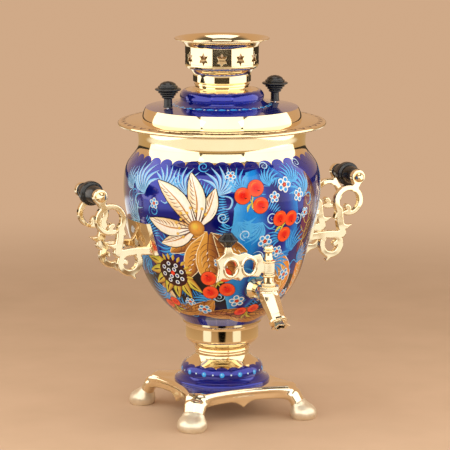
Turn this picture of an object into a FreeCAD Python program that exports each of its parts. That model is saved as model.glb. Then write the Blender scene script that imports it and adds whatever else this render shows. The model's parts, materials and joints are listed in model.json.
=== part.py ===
import FreeCAD, Part
import math
import os
from types import SimpleNamespace

import Sketcher
from FreeCAD import Placement, Rotation, Vector

# Driving dimensions in millimetres. A bulge is the tangent of a quarter of the angle an arc sweeps,
# and is positive where the arc lies to the right of its travel.
SIZES = {
    # stand
    "skirt_rise": 21.0,
    "plate_depth": 12.5,
    "plate_skin": 3.0,
    "plate_margin": 3.0,
    "knee_stretch": 23.0,
    "knee_width": 18.0,
    "cavity_inset": 9.0,
    "wiring_hole_inset": 7.0,
    "drop_depth": 6.0,
    "drop_width": 22.0,
    "drop_thickness": 5.0,
    "drop_inset": 0.5,
    "leg_width": 16.0,
    "leg_root_inset": 18.0,
    "knee_drop": 5.0,
    "knee_bulge": 0.35,
    "knee_overhang": 5.0,
    "ankle_overhang": 16.0,
    "ankle_height": 9.0,
    "shin_bulge": 0.15,
    "leg_foot_gap": 2.0,
    "heel_overhang": 5.0,
    "calf_inset": 4.0,
    "calf_drop": 5.0,
    "foot_overhang": 12.0,
    "hoof_radius": 12.5,
    "hoof_sole_radius": 10.0,
    "hoof_widest_height": 5.0,
    "hoof_rise": 12.0,
    "hoof_crown_radius": 6.0,
    "hoof_sole_bulge": 0.3,
    "hoof_bulge": 0.3,
    "cover_lap": 5.5,
    "cover_thickness": 1.5,
    "cover_screw_inset": 3.0,
    "cover_screw_radius": 1.5,
    "cover_screw_length": 8.0,
    "cover_head_radius": 2.4,
    "cover_head_height": 1.6,
    # pedestal
    "pedestal_height": 31.0,
    "flange_radius": 48.0,
    "flange_height": 3.4,
    "flange_bulge": 0.45,
    "bead_foot_radius": 41.0,
    "bead_foot_rise": 4.1,
    "pedestal_bead_bulge": 0.3,
    "bead_top_radius": 39.0,
    "bead_rise": 10.0,
    "pedestal_neck_radius": 27.2,
    "pedestal_collar": 4.0,
    "pedestal_flare_bulge": -0.1,
    "pedestal_wall": 2.2,
    # base cup
    "cup_height": 29.5,
    "cup_ring_height": 3.4,
    "cup_ring_bulge": 0.5,
    "cup_turn_inset": 3.2,
    "cup_flare_rise": 6.1,
    "cup_inset": 2.8,
    "cup_turn_rise": 4.3,
    "cup_turn_bulge": 0.2,
    "cup_lip_depth": 4.1,
    "cup_lip_inset": 0.7,
    "cup_lip_bulge": -0.2,
    "cup_wall": 1.4,
    # tank
    "tank_height": 199.3,
    "tank_wall": 1.4,
    "tank_base_radius": 39.5,
    "tank_flare_radius": 50.0,
    "tank_flare_height": 10.0,
    "tank_flare_bulge": -0.053,
    "bowl_radius": 82.5,
    "bowl_height": 61.0,
    "bowl_bulge": 0.152,
    "flank_radius": 95.5,
    "flank_height": 109.5,
    "shoulder_radius": 97.2,
    "shoulder_depth": 46.8,
    "barrel_bulge": 0.095,
    "slope_radius": 92.3,
    "slope_depth": 36.5,
    "shoulder_bulge": 0.135,
    "throat_radius": 84.3,
    "throat_depth": 27.3,
    "neck_radius": 82.6,
    "neck_depth": 22.8,
    "throat_bulge": -0.179,
    "mouth_radius": 84.3,
    "mouth_collar": 7.0,
    "floor_thickness": 2.0,
    # rim plate
    "rim_rise": 3.5,
    "rim_ledge": 4.35,
    "rim_seat_width": 3.8,
    "rim_overhang": 17.6,
    "rim_edge_thickness": 1.5,
    "rim_roll": 3.6,
    "rim_roll_wall": 1.2,
    "rim_roll_bulge": 0.9,
    "rim_lip_depth": 6.0,
    "rim_lip_wall": 1.2,
    "rim_fit": 0.15,
    # lid
    "lid_fit": 0.5,
    "lid_wall": 1.3,
    "lid_skirt_depth": 8.0,
    "lid_skirt_wall": 1.2,
    "band_lap": 2.4,
    "band_foot": 1.4,
    "band_rise": 10.4,
    "band_lean": 3.8,
    "band_bulge": 0.17,
    "lid_flare_radius": 50.5,
    "lid_flare_rise": 14.2,
    "lid_bead_radius": 41.0,
    "lid_cove_rise": 5.0,
    "lid_bead_step": 3.0,
    "lid_bead_rise": 9.6,
    "lid_bead_bulge": 0.38,
    "lid_cove_bulge": -0.2,
    "boss_rim_radius": 35.5,
    "boss_rim_rise": 0.8,
    "boss_ledge": 2.0,
    "boss_rise": 2.6,
    "boss_bulge": -0.25,
    "spigot_radius": 24.6,
    "spigot_height": 7.0,
    "vent_radius": 4.0,
    # lid knobs
    "knob_shift": 6.55,
    "knob_seat_radius": 5.0,
    "knob_seat_rise": 0.4,
    "knob_stem_radius": 4.2,
    "knob_neck_height": 9.5,
    "knob_skirt_radius": 6.5,
    "knob_radius": 12.6,
    "knob_cone_rise": 7.7,
    "knob_rim_height": 1.6,
    "knob_dome_radius": 8.5,
    "knob_shoulder_rise": 1.8,
    "knob_dome_rise": 5.4,
    "knob_dome_bulge": 0.3,
    "knob_top_radius": 1.2,
    "knob_screw_radius": 1.5,
    "knob_screw_reach": 10.0,
    "knob_screw_head_radius": 3.4,
    "knob_screw_head_height": 2.0,
    # crown
    "crown_fit": 0.35,
    "crown_turn": -25.0,
    "crown_wall": 1.1,
    "crown_foot_wall": 1.45,
    "crown_foot_rise": 1.2,
    "crown_bead_rise": 3.2,
    "crown_bead_bulge": 0.6,
    "collar_wall": 3.75,
    "collar_step": 1.0,
    "collar_rise": 6.8,
    "crown_turn_inset": 1.7,
    "crown_bowl_rise": 6.8,
    "crown_turn_rise": 4.7,
    "crown_turn_bulge": 0.2,
    "crown_radius": 36.5,
    "crown_side_rise": 17.3,
    "crown_flare_width": 3.5,
    "crown_flare_rise": 3.6,
    "crown_flare_bulge": -0.12,
    "crown_lip_width": 7.2,
    "crown_lip_rise": 4.0,
    "star_count": 12,
    "star_drop": 2.35,
    "star_length": 12.5,
    "star_width": 8.8,
    "star_depth_share": 0.52,
    # handles
    "handle_spread": 22.5,
    "bracket_thickness": 6.5,
    "saddle_thickness": 4.0,
    "saddle_lift": 6.75,
    "saddle_height": 32.0,
    "saddle_side": 3.0,
    "saddle_seat_sink": 1.6,
    "saddle_screw_spacing": 13.0,
    "saddle_screw_radius": 2.0,
    "saddle_head_radius": 3.6,
    "saddle_head_height": 2.2,
    "saddle_nut_radius": 4.2,
    "saddle_nut_height": 5.0,
    "eye_overhang": 50.2,
    "eye_rise": 45.5,
    "eye_radius": 7.5,
    "scroll_overhang": 40.0,
    "scroll_rise": 22.0,
    "scroll_radius": 15.7,
    "scroll_band": 3.8,
    "strap_width": 6.0,
    "strap_overhang": 32.2,
    "strap_drop": 11.0,
    "spike_length": 10.0,
    "spike_drop": 3.5,
    "loop_overhang": 19.7,
    "loop_drop": 21.5,
    "loop_hole_radius": 7.4,
    "loop_band": 6.0,
    "loop_tip": 17.0,
    "arm_depth": 7.5,
    "arm_drop": 12.5,
    "arm_root_depth": 10.8,
    "rod_radius": 2.5,
    "rod_fit": 0.1,
    "rod_overhang": 2.5,
    "grip_end_radius": 7.5,
    "grip_barrel_radius": 9.2,
    "grip_flange_radius": 12.0,
    "grip_flange_width": 5.0,
    "grip_step": 1.5,
    "cap_radius": 5.2,
    "cap_length": 6.0,
    "cap_tip_radius": 1.5,
    "cap_bulge": 0.3,
    # tap
    "tap_rise": 45.0,
    "tap_overhang": 33.7,
    "shank_radius": 6.5,
    "shank_fit": 0.1,
    "shank_end_depth": 14.3,
    "water_radius": 4.0,
    "gasket_depth": 4.3,
    "gasket_radius": 11.0,
    "locknut_radius": 12.0,
    "locknut_thickness": 6.0,
    "rosette_radius": 11.5,
    "rosette_overhang": 14.2,
    "rosette_chamfer": 5.0,
    "rosette_face_radius": 8.6,
    "rosette_root_depth": 6.3,
    "barrel_floor": 2.0,
    "barrel_foot_radius": 7.0,
    "barrel_foot_height": 3.5,
    "barrel_radius": 9.3,
    "barrel_collar_radius": 10.4,
    "barrel_collar_height": 4.0,
    "barrel_cover": 1.5,
    "plug_depth": 5.5,
    "plug_bottom_radius": 5.4,
    "plug_top_radius": 6.6,
    "plug_clearance": 0.05,
    "plug_end_gap": 0.5,
    "stem_radius": 5.7,
    "stem_rise": 9.0,
    "stem_bead_height": 4.0,
    "hub_seat_radius": 4.4,
    "hub_height": 10.0,
    "finial_ring_radius": 5.2,
    "finial_ring_height": 2.4,
    "finial_radius": 4.6,
    "finial_groove_radius": 3.6,
    "finial_neck_rise": 8.1,
    "finial_groove_width": 2.6,
    "finial_cap_rise": 4.4,
    "finial_bulge": 0.25,
    "spout_tilt": 46.4,
    "spout_root_radius": 9.4,
    "spout_neck_radius": 7.0,
    "spout_neck_length": 32.0,
    "spout_ring_radius": 8.0,
    "spout_ring_length": 3.0,
    "spout_mouth_radius": 9.0,
    "spout_lip_length": 8.5,
    "spout_bore_radius": 5.0,
    # tap key
    "hub_wall": 1.6,
    "hub_fit": 0.02,
    "key_thickness": 5.0,
    "key_rise": 8.0,
    "key_neck": 4.3,
    "key_hole_pitch": 19.4,
    "key_hole_radius": 6.2,
    "key_lobe_radius": 11.0,
    "key_tip_length": 14.3,
    "key_tip_rise": 8.0,
    "key_tip_drop": 13.0,
    "post_radius": 2.0,
    "post_shift": 2.3,
    "post_engagement": 9.5,
    "tap_knob_rise": 9.5,
    "tap_knob_height": 14.0,
    "tap_knob_radius": 9.8,
    "tap_knob_edge": 1.2,
    "tap_knob_end_radius": 3.2,
    # heater and fittings under the tank floor
    "heater_half_spacing": 13.0,
    "heater_offset": -5.0,
    "heater_radius": 4.0,
    "heater_rise": 26.0,
    "heater_loop_half_width": 40.0,
    "heater_loop_depth": 43.0,
    "heater_bend": 9.0,
    "heater_collar_radius": 8.0,
    "heater_collar_height": 3.0,
    "heater_thread_radius": 5.0,
    "heater_thread_fit": 0.15,
    "heater_thread_drop": 7.0,
    "heater_pin_radius": 1.5,
    "heater_pin_length": 5.0,
    "heater_gasket_thickness": 1.5,
    "heater_nut_radius": 8.0,
    "heater_nut_height": 5.0,
    "cutout_radius": 8.0,
    "cutout_height": 7.0,
    "cutout_offset": 7.0,
    "earth_screw_offset": 18.5,
    "earth_screw_radius": 3.0,
    "earth_screw_height": 3.0,
    "stud_inset": 6.0,
    "stud_radius": 2.5,
    "stud_fit": 0.1,
    "stud_tail": 2.0,
    "stud_nut_radius": 4.6,
    "stud_nut_height": 4.0,
    # inlet and wiring
    "inlet_gap": 0.3,
    "inlet_bore_radius": 8.2,
    "inlet_shell_wall": 1.3,
    "inlet_overhang": 11.3,
    "inlet_root_depth": 6.7,
    "insert_step": 1.2,
    "insert_fit": 0.1,
    "insert_back_depth": 5.7,
    "insert_flange_overhang": 0.8,
    "insert_flange_thickness": 2.5,
    "pin_radius": 1.2,
    "pin_half_spacing": 4.2,
    "pin_drop": 2.0,
    "earth_pin_rise": 4.0,
    "pin_back_depth": 7.7,
    "pin_front_overhang": 9.3,
    "lead_radius": 1.1,
    "lead_bend": 2.2,
    "lead_drop": 5.0,
}

FULL_TURN = 360.0
HEX_SIDES = 6
HALF = 0.5
QUARTER_ROUND = math.tan(math.radians(FULL_TURN / 16))
STUD_ANGLES = (30, 150, 270)
QUARTER_TURN = 90
STAND_TURN = 45
DROP_TURN = STAND_TURN + QUARTER_TURN
LEG_COUNT = 4

doc = FreeCAD.newDocument("samovar")
sheet = doc.addObject("Spreadsheet::Sheet", "Sizes")
for row, (alias, number) in enumerate(SIZES.items(), start=1):
    sheet.set(f"A{row}", alias)
    sheet.set(f"B{row}", str(number))
    sheet.setAlias(f"B{row}", alias)
doc.recompute()


class Size:
    """A number together with the sheet expression that gives it."""

    def __init__(self, number, text):
        self.number = number
        self.text = text

    def __float__(self):
        return self.number

    def __add__(self, other):
        other = size_of(other)
        return Size(self.number + other.number, f"({self.text} + {other.text})")

    def __sub__(self, other):
        other = size_of(other)
        return Size(self.number - other.number, f"({self.text} - {other.text})")

    def __mul__(self, other):
        other = size_of(other)
        return Size(self.number * other.number, f"({self.text} * {other.text})")

    def __truediv__(self, other):
        other = size_of(other)
        return Size(self.number / other.number, f"({self.text} / {other.text})")

    def __rsub__(self, other):
        return size_of(other) - self

    def __neg__(self):
        return Size(-self.number, f"(-{self.text})")

    __radd__ = __add__
    __rmul__ = __mul__


def size_of(value):
    if isinstance(value, Size):
        return value
    return Size(float(value), f"({float(value)!r})")


def hypotenuse(across, up):
    number = math.hypot(across.number, up.number)
    return Size(number, f"sqrt({across.text} * {across.text} + {up.text} * {up.text})")


def larger(one, two):
    return Size(max(one.number, two.number), f"max({one.text}; {two.text})")


S = SimpleNamespace(**{alias: Size(number, f"Sizes.{alias}") for alias, number in SIZES.items()})
ORIGIN = size_of(0)
parts = {}


def bind(target, path, value):
    target.setExpression(path, size_of(value).text)


def kept(label, target):
    """Give a finished sub-part its name and put it on the list of files."""
    target.Label = label
    parts[label] = target
    return target


def placed(target, x=0, y=0, z=0, axis=(0, 0, 1), angle=0):
    """Move a piece to its place, with the place and the turn tied to the sheet."""
    base = [size_of(value) for value in (x, y, z)]
    turn = size_of(angle)
    spot = Vector(*[value.number for value in base])
    target.Placement = Placement(spot, Rotation(Vector(*axis), turn.number))
    for letter, value in zip("xyz", base):
        bind(target, f"Placement.Base.{letter}", value)
    bind(target, "Placement.Rotation.Angle", turn)
    return target


def origin_feature(body, role):
    return next(item for item in body.Origin.OriginFeatures if item.Role == role)


def new_body(name):
    return doc.addObject("PartDesign::Body", name)


def fix_point(sketch, edge, end, spot):
    for kind, value in zip(("DistanceX", "DistanceY"), spot):
        index = sketch.addConstraint(Sketcher.Constraint(kind, -1, 1, edge, end, value.number))
        bind(sketch, f"Constraints[{index}]", value)


def draw_circle(sketch, x, y, radius):
    x, y, radius = size_of(x), size_of(y), size_of(radius)
    circle = Part.Circle(Vector(x.number, y.number, 0), Vector(0, 0, 1), radius.number)
    edge = sketch.addGeometry(circle, False)
    fix_point(sketch, edge, 3, (x, y))
    index = sketch.addConstraint(Sketcher.Constraint("Radius", edge, radius.number))
    bind(sketch, f"Constraints[{index}]", radius)


def arc_between(first, last, bulge):
    """Arc from one corner to the next, drawn anticlockwise whichever way the outline runs."""
    start = Vector(first[0].number, first[1].number, 0)
    finish = Vector(last[0].number, last[1].number, 0)
    chord = finish - start
    right = Vector(chord.y, -chord.x, 0) * HALF
    middle = (start + finish) * HALF + right * bulge.number
    return Part.Arc(start, middle, finish) if bulge.number > 0 else Part.Arc(finish, middle, start)


def draw_loop(sketch, corners):
    """Closed outline of lines and arcs; each corner is x, y and the bulge of the edge after it."""
    corners = [tuple(size_of(value) for value in (*corner, 0)[:3]) for corner in corners]
    edges = []
    for corner, after in zip(corners, corners[1:] + corners[:1]):
        bulge = corner[2]
        if bulge.number == 0:
            spots = [Vector(spot[0].number, spot[1].number, 0) for spot in (corner, after)]
            edge = sketch.addGeometry(Part.LineSegment(*spots), False)
        else:
            edge = sketch.addGeometry(arc_between(corner, after, bulge), False)
            chord = hypotenuse(after[0] - corner[0], after[1] - corner[1])
            bend = abs(bulge.number)
            steep = Size(bend, f"abs({bulge.text})")
            radius = chord * (1 + steep * steep) / (4 * steep)
            index = sketch.addConstraint(Sketcher.Constraint("Radius", edge, radius.number))
            bind(sketch, f"Constraints[{index}]", radius)
        first, last = (2, 1) if bulge.number < 0 else (1, 2)
        edges.append((edge, first, last))
    for corner, before, after in zip(corners, edges[-1:] + edges[:-1], edges):
        fix_point(sketch, after[0], after[1], corner[:2])
        joint = Sketcher.Constraint("Coincident", before[0], before[2], after[0], after[1])
        sketch.addConstraint(joint)


def sketch_on(body, role, loops, lift=0, turn=0):
    """Sketch on one of the body's own planes, lifted along the plane's normal."""
    sketch = body.newObject("Sketcher::SketchObject", f"{body.Name}_sketch")
    sketch.AttachmentSupport = (origin_feature(body, role), [""])
    sketch.MapMode = "FlatFace"
    if size_of(lift).number:
        bind(sketch, "AttachmentOffset.Base.z", lift)
    if turn:
        sketch.AttachmentOffset = Placement(Vector(), Rotation(Vector(0, 1, 0), turn))
    for loop in loops:
        if loop[0] == "circle":
            draw_circle(sketch, *loop[1:])
        else:
            draw_loop(sketch, loop)
    return sketch


def revolve(body, outline, kind="PartDesign::Revolution"):
    feature = body.newObject(kind, f"{body.Name}_turning")
    feature.Profile = sketch_on(body, "XZ_Plane", [outline])
    feature.ReferenceAxis = (feature.Profile[0], ["V_Axis"])
    return feature


def turned(name, outline):
    """Piece turned about its own Z axis from an outline of radius and height."""
    body = new_body(name)
    revolve(body, outline)
    return body


def pad(body, role, loops, length, lift=0, turn=0, both=False, reverse=False):
    feature = body.newObject("PartDesign::Pad", f"{body.Name}_pad")
    feature.Profile = sketch_on(body, role, loops, lift, turn)
    feature.SideType = "Symmetric" if both else "One side"
    feature.Reversed = reverse
    bind(feature, "Length", length)
    return feature


def pocket(body, role, loops, lift=0, both=False, reverse=False, length=None):
    """Cut that has to take material away, through everything unless a length is given."""
    doc.recompute()
    before = body.Shape.Volume
    feature = body.newObject("PartDesign::Pocket", f"{body.Name}_cut")
    feature.Profile = sketch_on(body, role, loops, lift)
    feature.SideType = "Symmetric" if both else "One side"
    feature.Reversed = reverse
    if length is None:
        feature.Type = "ThroughAll"
    else:
        bind(feature, "Length", length)
    doc.recompute()
    if body.Shape.Volume >= before:
        raise ValueError(f"the cut in {body.Name} takes nothing away")
    return feature


def ring_of(body, feature, count):
    """Repeat a feature evenly around the body's Z axis."""
    pattern = body.newObject("PartDesign::PolarPattern", f"{body.Name}_ring")
    pattern.Originals = [feature]
    pattern.Axis = (origin_feature(body, "Z_Axis"), [""])
    pattern.Angle = FULL_TURN
    bind(pattern, "Occurrences", count)
    body.Tip = pattern
    return pattern


def combine(kind, name, base, tool):
    result = doc.addObject(kind, name)
    result.Base = base
    result.Tool = tool
    return result


def cut(name, base, tool):
    return combine("Part::Cut", name, base, tool)


def fuse(name, base, tool):
    return combine("Part::Fuse", name, base, tool)


def common(name, base, tool):
    return combine("Part::Common", name, base, tool)


def group(label, members):
    compound = doc.addObject("Part::Compound", label)
    compound.Links = members
    return kept(label, compound)


def lowered(outline, inward, down=0):
    """The outline walked backwards, moved in and down by a wall."""
    bulges = [size_of(corner[2]) if len(corner) > 2 else ORIGIN for corner in outline]
    backwards = [ORIGIN] + [-bulge for bulge in bulges[-2::-1]]
    return [
        (size_of(corner[0]) - inward, size_of(corner[1]) - down, bulge)
        for corner, bulge in zip(outline[::-1], backwards[1:] + [ORIGIN])
    ]


def around(reach, angle):
    """Spot at a distance from the axis, turned by an angle from the X axis."""
    turn = math.radians(angle)
    return reach * math.cos(turn), reach * math.sin(turn)


def hexagon(radius):
    """Nut outline with its corners on a circle."""
    return [around(radius, FULL_TURN * step / HEX_SIDES) for step in range(HEX_SIDES)]


def ring(name, inner, outer, low, high):
    return turned(name, [(inner, low), (outer, low), (outer, high), (inner, high)])


def rod(name, radius, low, high):
    return turned(name, [(0, low), (radius, low), (radius, high), (0, high)])


def nut(name, bore, radius, low, height):
    body = new_body(name)
    pad(body, "XY_Plane", [hexagon(radius), ("circle", 0, 0, bore)], height, low)
    return body


def tube_along(points, bend, radius):
    """Round tube on straight runs joined by tangent arcs."""
    spots = [Vector(*[float(value) for value in point]) for point in points]
    edges = []
    start = spots[0]
    for before, corner, after in zip(spots, spots[1:], spots[2:]):
        back = (before - corner).normalize()
        ahead = (after - corner).normalize()
        half_angle = back.getAngle(ahead) * HALF
        reach = bend / math.tan(half_angle)
        centre = corner + (back + ahead).normalize() * (bend / math.sin(half_angle))
        middle = centre + (corner - centre).normalize() * bend
        edges.append(Part.LineSegment(start, corner + back * reach).toShape())
        edges.append(Part.Arc(corner + back * reach, middle, corner + ahead * reach).toShape())
        start = corner + ahead * reach
    edges.append(Part.LineSegment(start, spots[-1]).toShape())
    path = Part.Wire(edges)
    section = Part.Wire(Part.makeCircle(radius, spots[0], spots[1] - spots[0]))
    return path.makePipeShell([section], True, False)


def between(first, last, share):
    return first + (last - first) * share


def flank_at(height):
    """Radius of the tank on the straight flank at a height."""
    share = (height - tank_bottom - S.bowl_height) / (S.flank_height - S.bowl_height)
    return between(S.bowl_radius, S.flank_radius, share)


# heights that the stack of pieces gives
plate_top = S.skirt_rise + S.plate_depth
pedestal_top = plate_top + S.pedestal_height
cup_top = pedestal_top + S.cup_height
tank_bottom = cup_top + S.floor_thickness
tank_top = tank_bottom + S.tank_height
rim_seat = tank_top + S.rim_rise
lid_edge = rim_seat + S.band_foot + S.band_rise
lid_flare = rim_seat + S.lid_flare_rise
lid_bead = lid_flare + S.lid_cove_rise
lid_bead_top = lid_bead + S.lid_bead_rise
boss_rim = lid_bead_top + S.boss_rim_rise
crown_bottom = boss_rim + S.boss_rise
saddle_middle = tank_bottom + between(S.bowl_height, S.flank_height, HALF) + S.saddle_lift
tap_height = tank_bottom + S.tap_rise
barrel_top = tap_height + S.shank_radius + S.barrel_cover
plug_bottom = tap_height - S.plug_depth
inlet_height = cup_top - S.inlet_bore_radius - S.inlet_shell_wall - S.inlet_gap

# reaches from the axis that mating pieces share
side_reach = S.flange_radius + S.plate_margin
knee_reach = side_reach + S.knee_stretch
cavity_radius = S.flange_radius - S.cavity_inset
cover_screw_circle = cavity_radius + S.cover_screw_inset
cup_radius = S.tank_base_radius - S.cup_inset
pedestal_bore = S.pedestal_neck_radius - S.pedestal_wall
stud_circle = pedestal_bore - S.stud_inset
rim_lip = S.mouth_radius - S.tank_wall - S.rim_fit
rim_bore = rim_lip - S.rim_lip_wall - S.rim_ledge
band_radius = rim_bore + S.band_lap
knob_offset = between(S.lid_flare_radius, band_radius, HALF) - S.knob_shift
crown_sleeve = S.spigot_radius + S.crown_fit
handle_wall = flank_at(saddle_middle)
eye_reach = handle_wall + S.eye_overhang
eye_height = saddle_middle + S.eye_rise
tap_share = (S.tap_rise - S.tank_flare_height) / (S.bowl_height - S.tank_flare_height)
tap_wall = between(S.tank_flare_radius, S.bowl_radius, tap_share)
tap_reach = tap_wall + S.tap_overhang
insert_radius = S.inlet_bore_radius - S.insert_step


def make_stand():
    body = new_body("stand")
    half_knee = S.knee_width * HALF
    diagonal = math.sqrt(HALF)
    corner_gap = hypotenuse(knee_reach - half_knee, knee_reach - half_knee)
    side_sag = (knee_reach + half_knee) * diagonal - side_reach
    side_bulge = -(side_sag / (corner_gap * HALF))
    outline = [
        (knee_reach, -half_knee),
        (knee_reach, half_knee, side_bulge),
        (half_knee, knee_reach),
        (-half_knee, knee_reach, side_bulge),
        (-knee_reach, half_knee),
        (-knee_reach, -half_knee, side_bulge),
        (-half_knee, -knee_reach),
        (half_knee, -knee_reach, side_bulge),
    ]
    pad(body, "XY_Plane", [outline], S.plate_depth, S.skirt_rise)
    leg = [
        (knee_reach - S.leg_root_inset, plate_top),
        (knee_reach - S.leg_root_inset, S.skirt_rise),
        (knee_reach - S.calf_inset, S.skirt_rise - S.calf_drop),
        (knee_reach + S.heel_overhang, S.leg_foot_gap),
        (knee_reach + S.ankle_overhang, S.leg_foot_gap),
        (knee_reach + S.ankle_overhang, S.ankle_height, -S.shin_bulge),
        (knee_reach + S.knee_overhang, plate_top - S.knee_drop, S.knee_bulge),
        (knee_reach, plate_top),
    ]
    ring_of(body, pad(body, "XZ_Plane", [leg], S.leg_width, both=True), LEG_COUNT)
    hoof = body.newObject("PartDesign::Revolution", "hoof_turning")
    foot_reach = knee_reach + S.foot_overhang
    hoof_top = S.hoof_widest_height + S.hoof_rise
    outline = [
        (foot_reach, 0),
        (foot_reach + S.hoof_sole_radius, 0, S.hoof_sole_bulge),
        (foot_reach + S.hoof_radius, S.hoof_widest_height, S.hoof_bulge),
        (foot_reach + S.hoof_crown_radius, hoof_top),
        (foot_reach, hoof_top),
    ]
    sketch = sketch_on(body, "XZ_Plane", [outline])
    ends = [Vector(float(foot_reach), float(height), 0) for height in (ORIGIN, hoof_top)]
    axis = sketch.addGeometry(Part.LineSegment(*ends), True)
    sketch.addConstraint(Sketcher.Constraint("Vertical", axis))
    fix_point(sketch, axis, 1, (foot_reach, ORIGIN))
    hoof.Profile = sketch
    hoof.ReferenceAxis = (sketch, ["Axis0"])
    ring_of(body, hoof, LEG_COUNT)
    half_drop = S.drop_width * HALF
    drop = [
        (-half_drop, S.skirt_rise + S.drop_depth),
        (-half_drop, S.skirt_rise, -S.shin_bulge),
        (0, S.skirt_rise - S.drop_depth, -S.shin_bulge),
        (half_drop, S.skirt_rise),
        (half_drop, S.skirt_rise + S.drop_depth),
    ]
    drop_pad = pad(body, "XZ_Plane", [drop], S.drop_thickness, turn=DROP_TURN, reverse=True)
    drop_reach = (side_reach - S.drop_inset) * diagonal
    bind(drop_pad.Profile[0], "AttachmentOffset.Base.x", drop_reach)
    bind(drop_pad.Profile[0], "AttachmentOffset.Base.z", -drop_reach)
    ring_of(body, drop_pad, LEG_COUNT)
    cavity = ("circle", 0, 0, cavity_radius)
    pocket(body, "XY_Plane", [cavity], plate_top - S.plate_skin)
    pocket(body, "XY_Plane", [("circle", 0, 0, stud_circle - S.wiring_hole_inset)], plate_top)
    bore = S.stud_radius + S.stud_fit
    spots = [around(stud_circle, angle - STAND_TURN) for angle in STUD_ANGLES]
    pocket(body, "XY_Plane", [("circle", *spot, bore) for spot in spots], plate_top)
    screw_hole = [("circle", cover_screw_circle, 0, S.cover_screw_radius + S.stud_fit)]
    screw_cut = pocket(
        body, "XY_Plane", screw_hole, S.skirt_rise, reverse=True, length=S.cover_screw_length
    )
    ring_of(body, screw_cut, LEG_COUNT)
    kept("foot_base", placed(body, angle=STAND_TURN))


def make_stand_fittings():
    cover = new_body("cover")
    disc = ("circle", 0, 0, cavity_radius + S.cover_lap)
    pad(cover, "XY_Plane", [disc], S.cover_thickness, S.skirt_rise - S.cover_thickness)
    hole = [("circle", cover_screw_circle, 0, S.cover_screw_radius + S.stud_fit)]
    ring_of(cover, pocket(cover, "XY_Plane", hole, S.skirt_rise), LEG_COUNT)
    kept("base_cover", placed(cover, angle=STAND_TURN))
    screws = []
    head = S.skirt_rise - S.cover_thickness
    for step in range(LEG_COUNT):
        screw = turned(
            "cover_screw",
            [
                (0, head - S.cover_head_height),
                (S.cover_head_radius, head - S.cover_head_height),
                (S.cover_head_radius, head),
                (S.cover_screw_radius, head),
                (S.cover_screw_radius, S.skirt_rise + S.cover_screw_length - S.stud_fit),
                (0, S.skirt_rise + S.cover_screw_length - S.stud_fit),
            ],
        )
        spot = around(cover_screw_circle, STAND_TURN + step * FULL_TURN / LEG_COUNT)
        screws.append(placed(screw, *spot))
    group("base_cover_screws", screws)
    studs = []
    nuts = []
    nut_bottom = plate_top - S.plate_skin - S.stud_nut_height
    bore = S.stud_radius + S.stud_fit
    for angle in STUD_ANGLES:
        spot = around(stud_circle, angle)
        stud = rod("stud", S.stud_radius, nut_bottom - S.stud_tail, cup_top)
        studs.append(placed(stud, *spot))
        stud_nut = nut("stud_nut", bore, S.stud_nut_radius, nut_bottom, S.stud_nut_height)
        nuts.append(placed(stud_nut, *spot))
    group("base_studs", studs)
    group("stud_nuts", nuts)


def make_pedestal():
    neck = pedestal_top - S.pedestal_collar
    flange_top = plate_top + S.flange_height
    bead_foot = flange_top + S.bead_foot_rise
    bead_top = bead_foot + S.bead_rise
    outer = [
        (S.flange_radius, plate_top, S.flange_bulge),
        (S.flange_radius - S.flange_height * HALF, flange_top),
        (S.bead_foot_radius, bead_foot, S.pedestal_bead_bulge),
        (S.bead_top_radius, bead_top, S.pedestal_flare_bulge),
        (S.pedestal_neck_radius, neck),
        (S.pedestal_neck_radius, pedestal_top),
    ]
    inner = [
        (pedestal_bore, pedestal_top),
        (pedestal_bore, neck - S.pedestal_wall),
        (S.bead_top_radius - 2 * S.pedestal_wall, bead_top - S.pedestal_wall),
        (S.bead_foot_radius - S.pedestal_wall, bead_foot),
        (S.flange_radius - 2 * S.pedestal_wall, plate_top),
    ]
    kept("pedestal", placed(turned("pedestal", outer + inner)))


def cup_outline():
    ring_top = pedestal_top + S.cup_ring_height
    flare_top = ring_top + S.cup_flare_rise
    return [
        (S.pedestal_neck_radius, pedestal_top, S.cup_ring_bulge),
        (S.pedestal_neck_radius, ring_top),
        (cup_radius - S.cup_turn_inset, flare_top, S.cup_turn_bulge),
        (cup_radius, flare_top + S.cup_turn_rise),
        (cup_radius, cup_top - S.cup_lip_depth, S.cup_lip_bulge),
        (S.tank_base_radius - S.cup_lip_inset, cup_top),
    ]


def make_cup():
    outer = cup_outline()
    inner = lowered(outer, S.cup_wall)
    body = turned("cup", outer + inner)
    hole = [("circle", 0, inlet_height, insert_radius + S.insert_fit)]
    pocket(body, "XZ_Plane", hole)
    kept("base_cup", placed(body))
    return turned("cup_envelope", [(0, pedestal_top), *outer, (0, cup_top)])


def tank_outline(outward=0):
    corners = [
        (S.tank_base_radius, tank_bottom, S.tank_flare_bulge),
        (S.tank_flare_radius, tank_bottom + S.tank_flare_height, S.bowl_bulge),
        (S.bowl_radius, tank_bottom + S.bowl_height),
        (S.flank_radius, tank_bottom + S.flank_height, S.barrel_bulge),
        (S.shoulder_radius, tank_top - S.shoulder_depth, S.shoulder_bulge),
        (S.slope_radius, tank_top - S.slope_depth),
        (S.throat_radius, tank_top - S.throat_depth, S.throat_bulge),
        (S.neck_radius, tank_top - S.neck_depth),
        (S.mouth_radius, tank_top - S.mouth_collar),
        (S.mouth_radius, tank_top),
    ]
    return [(corner[0] + outward, *corner[1:]) for corner in corners]


def saddle_screw_heights():
    return [saddle_middle + side * S.saddle_screw_spacing * HALF for side in (-1, 1)]


def solid_tank(name, outward):
    return turned(name, [(0, tank_bottom), *tank_outline(outward), (0, tank_top)])


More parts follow.
